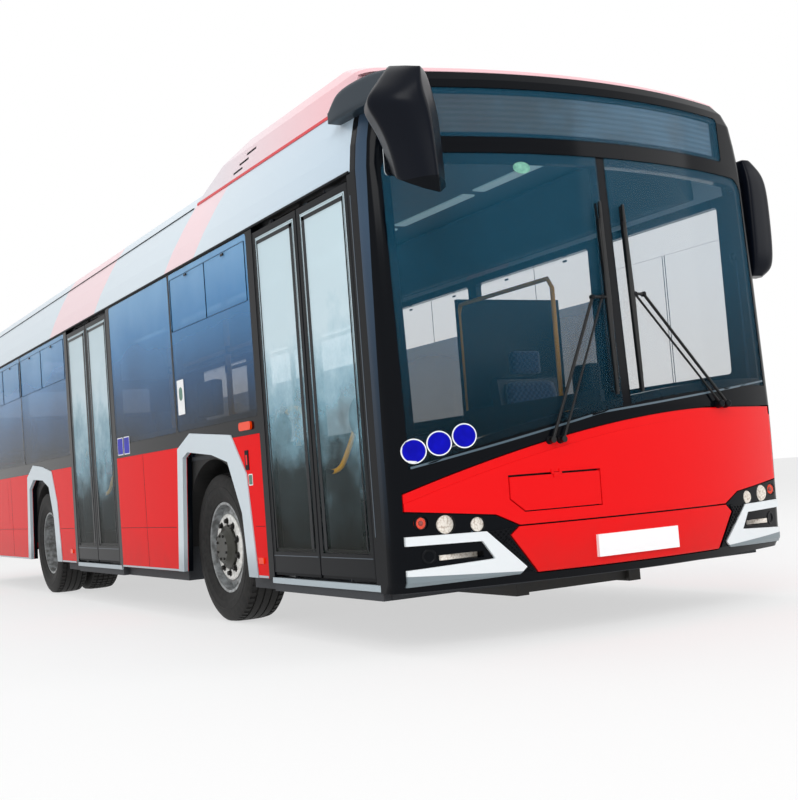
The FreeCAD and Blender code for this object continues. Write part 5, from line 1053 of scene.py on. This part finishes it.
def lofted(sections, sharp):
    """Makes a closed shell through rows of points; the listed corners of the rows stay sharper."""
    shell = bmesh.new()
    crease = shell.edges.layers.float.new("crease_edge")
    before = None
    rings = []
    for row in sections:
        ring = [shell.verts.new(point) for point in row]
        edges = [shell.edges.new(pair) for pair in zip(ring, ring[1:] + ring[:1])]
        if before:
            bmesh.ops.bridge_loops(shell, edges=before + edges)
        before = edges
        rings.append(ring)
    for ring in (rings[0], rings[-1]):
        shell.faces.new(ring)
        for pair in zip(ring, ring[1:] + ring[:1]):
            shell.edges.get(pair)[crease] = 0.6
    for low, high in zip(rings, rings[1:]):
        for corner, value in sharp.items():
            edge = shell.edges.get((low[corner], high[corner]))
            if edge:
                edge[crease] = value
    return shell


def rounded(form):
    """Applies a subdivision surface of three levels to a shell and returns the finer shell."""
    form.to_mesh(scratch)
    form.free()
    holder = bpy.data.objects.new("scratch", scratch)
    bpy.context.scene.collection.objects.link(holder)
    smoother = holder.modifiers.new("smooth", "SUBSURF")
    smoother.levels = smoother.render_levels = 3
    fine = bmesh.new()
    fine.from_mesh(bpy.data.meshes.new_from_object(
        holder.evaluated_get(bpy.context.evaluated_depsgraph_get())))
    bpy.data.objects.remove(holder)
    return fine


def head_row(z, outer, ridge, inner, front):
    """Plan section of the door side mirror: outer edge, cheek, ridge, inner face and flat back."""
    cheek = outer + (ridge - outer) * 0.42
    plan = [(-outer, -0.150), (-cheek, front + 0.044), (-ridge, front), (-inner, front + 0.110),
            (-inner - 0.008, -0.020), (-outer + 0.050, -0.020)]
    dip = 0.28 * max(0.0, min(1.0, (z - 2.45) / 0.15))
    return [(x, NOSE_Y + s, z + dip * min(0.0, s + 0.15)) for x, s in plan]


HEAD_CREASES = {0: 0.8, 2: 0.55, 3: 0.75, 4: 0.8, 5: 0.8}
HEAD_FOOT = ((0.0, NOSE_Y - 0.340, 2.066), (0.0, 0.110, -0.200))
CHIN_TOP = ((0.0, NOSE_Y - 0.340, 2.150), (0.0, -0.03, 1.0))
head_rows = [head_row(*row) for row in HEAD_ROWS]
head = rounded(lofted(head_rows, HEAD_CREASES))
cut_away(head, *HEAD_FOOT)
bmesh.ops.holes_fill(head, edges=head.edges[:], sides=0)
piece("door_side_mirror_head", head, mirror_plastic, "mirror_black", smooth=True)
arm_rows = [[(x, NOSE_Y + s, z) for x, z in ((x0, z0), (x1, z0), (x1, z1), (x0, z1))]
            for s, x0, x1, z0, z1 in ARM_ROWS]
arm = rounded(lofted(arm_rows, {0: 0.8, 1: 0.8, 2: 0.7, 3: 0.7}))
piece("door_side_mirror_arm", arm, arm_plastic, "mirror_black", smooth=True)
side_rows = []
for z, outer, tuck in SIDE_ROWS:
    plan = [(1.305, 0.290 + tuck), (outer - 0.050, 0.280 + tuck), (outer, 0.330 + tuck),
            (outer, 0.460 - tuck), (1.305, 0.460 - tuck)]
    side_rows.append([(x, NOSE_Y + s, z) for x, s in plan])
side_head = rounded(lofted(side_rows, {0: 0.7, 3: 0.8, 4: 0.8}))
for z in (1.980, 2.420):
    tube(side_head, [(1.190, NOSE_Y + 0.370, z), (1.345, NOSE_Y + 0.370, z)], 0.022, 20)
side_mirror = piece("driver_side_mirror_head", side_head, mirror_plastic, "mirror_black", smooth=True)
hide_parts("mirrors")

# Chin of the head: a matt black sheet laid round its foot, a painted shade under the head.
chin_shade_sheet = rounded(lofted(head_rows, HEAD_CREASES))
cut_away(chin_shade_sheet, *HEAD_FOOT)
cut_away(chin_shade_sheet, *CHIN_TOP)
bmesh.ops.holes_fill(chin_shade_sheet, edges=chin_shade_sheet.edges[:], sides=0)
bmesh.ops.recalc_face_normals(chin_shade_sheet, faces=chin_shade_sheet.faces[:])
for vert in chin_shade_sheet.verts:
    vert.co += vert.normal * 0.0008
piece("door_side_mirror_chin_shade", chin_shade_sheet, black_lacquer, "mirror_black")

# Silvered glass let into the flat back of each head.
for name, box, back_s in (("door_side", (-1.330, -1.155, 2.220, 2.560), -0.0185),
                          ("driver_side", (1.330, 1.478, 1.945, 2.430), 0.4615)):
    pane = bmesh.new()
    upright_grid(pane, *box, 1, 1)
    bmesh.ops.bevel(pane, geom=pane.verts[:], offset=0.022, segments=5, profile=0.5, affect="VERTICES",
                    material=-1)
    bmesh.ops.translate(pane, vec=(0.0, NOSE_Y + back_s, 0.0), verts=pane.verts[:])
    thickened(pane, pane.faces[:], (0.0, -0.0035, 0.0))
    piece(name + "_mirror_glass", pane, silvered, "mirror_black")

wiper_coat = new_finish("black_wiper_coat", "#08090b", 0.42, 0.3)
grain(wiper_coat, 2.0, 0.1)
finish_nodes(wiper_coat, "wipers")

WIPER_SETS = [((-0.482, 0.966), (-0.169, 1.670), (-0.0695, 2.160), (-0.0695, 1.180), 0.060),
              ((0.738, 1.105), (0.169, 1.688), (0.089, 2.150), (0.089, 1.190), -0.060)]
fittings = bmesh.new()
lip_form = bmesh.new()
spoilers = bmesh.new()
for pivot, elbow, top, low, spread in WIPER_SETS:
    for dx in (0.0, spread):
        spot = on_nose(mask_skin, pivot[0] + dx, pivot[1])
        turned(fittings, [(0.0, 0.024), (-0.010, 0.024), (-0.034, 0.019), (-0.038, 0.014), (-0.038, 0.0)],
               spot, FORWARD, 24)
        spot = on_nose(glass_skin, elbow[0] + dx, elbow[1])
        centre = (spot or Vector((0.0, NOSE_Y, elbow[1]))) - Vector((0.0, 0.026, 0.0))
        turned(fittings, [(0.010, 0.0), (0.010, 0.013), (-0.008, 0.013), (-0.012, 0.009), (-0.012, 0.0)],
               centre, FORWARD, 20)
    line = []
    for i in range(13):
        z = low[1] + (top[1] - low[1]) * i / 12
        skin = on_nose(glass_skin, low[0], z) or on_nose(mask_skin, low[0], z)
        line.append(skin - Vector((0.0, 0.008, 0.0)))
    tube(lip_form, line, 0.006, 6)
    tube(spoilers, [point - Vector((0.0, 0.016, 0.0)) for point in line[1:-1]], 0.012, 12)
piece("wiper_caps", fittings, satin_black, "wiper_black")
piece("wiper_lips", lip_form, rubber, "wiper_black", smooth=True)
piece("wiper_spoilers", spoilers, wiper_coat, "wiper_black", smooth=True)


# Lamps
# Round polycarbonate lenses in satin black bezels, under clear domes at the nose: white and amber in
# front, white, amber and red at the tail, with side lamps and reflectors of amber acrylic.

lens = new_finish("moulded_lamp_lens", rough=0.12, specular=0.2)
place, axes = place_of(lens)
outward = add(lens, "Math.ABSOLUTE", [axes["X"]])
amber = add(lens, "Math.GREATER_THAN", [outward, 1.105])
facets = add(lens, "TexVoronoi", {"Vector": place, "Scale": 90.0})
cut = add(lens, "ValToRGB", [facets], stops=[(0.0, "#f6f2ea"), (0.55, "#e6dfd4"), (0.9, "#b9aa9c")])
front = add(lens, "MixRGB", [amber, cut, "#f23c00"])
height = add(lens, "Math.DIVIDE", [axes["Z"], 1.2])
back = add(lens, "ValToRGB", [height], interpolation="CONSTANT",
           stops=[(0.0, "#e9e6df"), (0.56, "#e8620c"), (0.67, "#b80a0c")])
rear = add(lens, "Math.GREATER_THAN", [axes["Y"], 5.0])
tone = add(lens, "MixRGB", [rear, front, back])
feed(lens, "Base Color", tone)
glow = add(lens, "Math.MULTIPLY", [amber, 0.04])
feed(lens, "Emission Color", tone)
feed(lens, "Emission Strength", glow)
finish_nodes(lens, "lamps")

clear_dome = new_finish("clear_polycarbonate", "#e9f0f2", 0.03, 0.06)
feed(clear_dome, "Alpha", 0.05)
grain(clear_dome, 30.0, 0.02, 0.1)
bezels = bmesh.new()
domes = bmesh.new()
for x, z, radius in ((1.150, 0.616, 0.032), (1.036, 0.601, 0.044), (0.884, 0.589, 0.034)):
    near = on_nose(mask_skin, x, z + radius + 0.012).y
    turned(bezels, [(0.006, radius - 0.005), (-0.001, radius - 0.004), (-0.002, radius + 0.001),
                    (0.004, radius + 0.003), (0.012, radius + 0.001), (0.006, radius - 0.005)],
           (x, near, z), FORWARD, 40)
    turned(domes, [(-0.001, radius - 0.004), (-0.005, radius * 0.7), (-0.007, radius * 0.35),
                   (-0.008, 0.0)], (x, near, z), FORWARD, 40)
on_both_sides(bezels)
on_both_sides(domes)
piece("front_lamp_bezels", bezels, satin_black, "gloss_black", smooth=True)
piece("front_lamp_domes", domes, clear_dome, "lamp_lens", smooth=True)

# Amber bulbs seen as a darker eye in the two outer lamps.
eyes = bmesh.new()
near = on_nose(mask_skin, 1.150, 0.660).y
turned(eyes, [(0.004, 0.0), (0.004, 0.013), (-0.0005, 0.010), (-0.001, 0.0)], (1.150, near, 0.616),
       FORWARD, 24)
on_both_sides(eyes)
deep_amber = new_finish("deep_amber_reflector")
mottled(deep_amber, "#7c1800", "#b02a04", 6, 0.2, 0.35)
piece("front_amber_eyes", eyes, deep_amber, "lamp_lens", smooth=True)

# Rear lamp bezels: four satin black rings a side, proud of the tail.
tail_skin = surface_of("rear_wall")
rear_bezels = bmesh.new()
for z in (0.600, 0.740, 0.880, 1.020):
    near = NOSE_Y + on_tail(tail_skin, 1.120 - 0.062, z)
    turned(rear_bezels, [(-0.010, 0.050), (0.003, 0.0505), (0.006, 0.055), (0.003, 0.061), (-0.010, 0.062),
                         (-0.010, 0.050)], (1.120, near, z), FORWARD, 40)
on_both_sides(rear_bezels)
piece("rear_lamp_bezels", rear_bezels, satin_black, "gloss_black", smooth=True)


# Tail fittings
# A blank white plate in a black holder under a lamp, a pull handle on the engine lid, a high brake
# lamp over the window and red reflectors in the corners of the bumper.

wall_s = on_tail(tail_skin, 0.0, 0.440)
boxed("rear_plate_holder", satin_black, "gloss_black",
      [((-0.275, wall_s - 0.004, 0.375), (0.275, wall_s + 0.006, 0.505), 0.003)])
boxed("rear_plate", white_vinyl, "trim_silver",
      [((-0.260, wall_s + 0.005, 0.385), (0.260, wall_s + 0.008, 0.495), 0.001)])
lid_s = on_tail(surface_of("engine_lid"), 0.0, 1.200)
lid_y = NOSE_Y + lid_s
handle = bmesh.new()
block(handle, (-0.110, lid_s - 0.003, 1.165), (0.110, lid_s + 0.004, 1.235), 0.003)
tube(handle, [(-0.085, lid_y, 1.190), (-0.080, lid_y + 0.005, 1.190), (0.080, lid_y + 0.005, 1.190),
              (0.085, lid_y, 1.190)], 0.005, 10)
piece("engine_lid_handle", handle, satin_black, "gloss_black", "engine_lid")
red_acrylic = new_finish("red_acrylic")
mottled(red_acrylic, "#7c0506", "#a80a0b", 12, 0.12, 0.2)
red_lamps = []
for x, z, half, down, up, edge in ((0.0, 2.365, 0.160, 0.015, 0.020, 0.004),
                                   (-1.020, 0.430, 0.050, 0.018, 0.018, 0.003),
                                   (1.020, 0.430, 0.050, 0.018, 0.018, 0.003)):
    skin_s = on_tail(tail_skin, x, z)
    red_lamps.append(((x - half, skin_s - 0.004, z - down), (x + half, skin_s + 0.006, z + up), edge))
boxed("high_brake_lamp", red_acrylic, "lamp_lens", red_lamps)


# Studio
# A pale floor and background under plain soft light, and the camera where the photograph was taken.

floor_mesh = bpy.data.meshes.new("studio_floor")
ground = bmesh.new()
bmesh.ops.create_grid(ground, x_segments=1, y_segments=1, size=90.0)
ground.to_mesh(floor_mesh)
ground.free()
floor = bpy.data.objects.new("studio_floor", floor_mesh)
bpy.context.scene.collection.objects.link(floor)
pale = new_finish("pale_studio_floor", "#f4f4f4", 0.9)
glow = add(pale, "Emission", {"Color": "#fbfbfb"})
paths = add(pale, "LightPath").outputs
far = add(pale, "Math.MAXIMUM", [paths["Is Glossy Ray"], paths["Is Transmission Ray"]])
near = add(pale, "Math.MULTIPLY_ADD", [paths["Is Camera Ray"], 0.62, far], use_clamp=True)
blend = add(pale, "MixShader", [near, pale.node_tree.nodes["Principled BSDF"], glow])
plug(pale, blend, pale.node_tree.nodes["Material Output"].inputs["Surface"])
floor_mesh.materials.append(pale)

world = bpy.data.worlds.new("studio")
bpy.context.scene.world = world
world.use_nodes = True
sky = world.node_tree.nodes["Background"].inputs
paths = add(world, "LightPath").outputs
seen = add(world, "Math.ADD", [paths["Is Camera Ray"], paths["Is Glossy Ray"]])
plug(world, add(world, "MapRange", [seen, 0.0, 1.0, 0.66, 1.0]), sky["Strength"])
plug(world, (1.0, 1.0, 1.0, 1.0), sky["Color"])

LAMP_PLACES = {"key": ((-9.0, -14.0, 9.0), 7.0, 760.0), "fill": ((9.0, -12.0, 6.0), 7.0, 300.0),
               "top": ((0.0, 0.0, 13.0), 10.0, 520.0)}
for name, (spot, width, power) in LAMP_PLACES.items():
    light = bpy.data.lights.new(name, "AREA")
    light.shape = "SQUARE"
    light.size = width
    light.energy = power
    lamp = bpy.data.objects.new(name, light)
    lamp.location = spot
    lamp.rotation_euler = (Vector((0.0, -2.0, 1.2)) - Vector(spot)).to_track_quat("-Z", "Y").to_euler()
    bpy.context.scene.collection.objects.link(lamp)

CAMERA_YAW, CAMERA_PITCH, CAMERA_ROLL = map(math.radians, (29.79, 3.7, -4.4))
camera = bpy.data.objects.new("camera", bpy.data.cameras.new("camera"))
camera.data.lens = 55.05
camera.data.clip_end = 300.0
aim = Matrix.Rotation(-CAMERA_YAW, 4, "Z") @ Matrix.Rotation(math.pi / 2 + CAMERA_PITCH, 4, "X")
camera.matrix_world = (Matrix.Translation((-4.086, NOSE_Y - 4.806, 0.831)) @ aim
                       @ Matrix.Rotation(CAMERA_ROLL, 4, "Z"))
bpy.context.scene.collection.objects.link(camera)
bpy.context.scene.camera = camera
bpy.context.scene.view_settings.view_transform = "Standard"
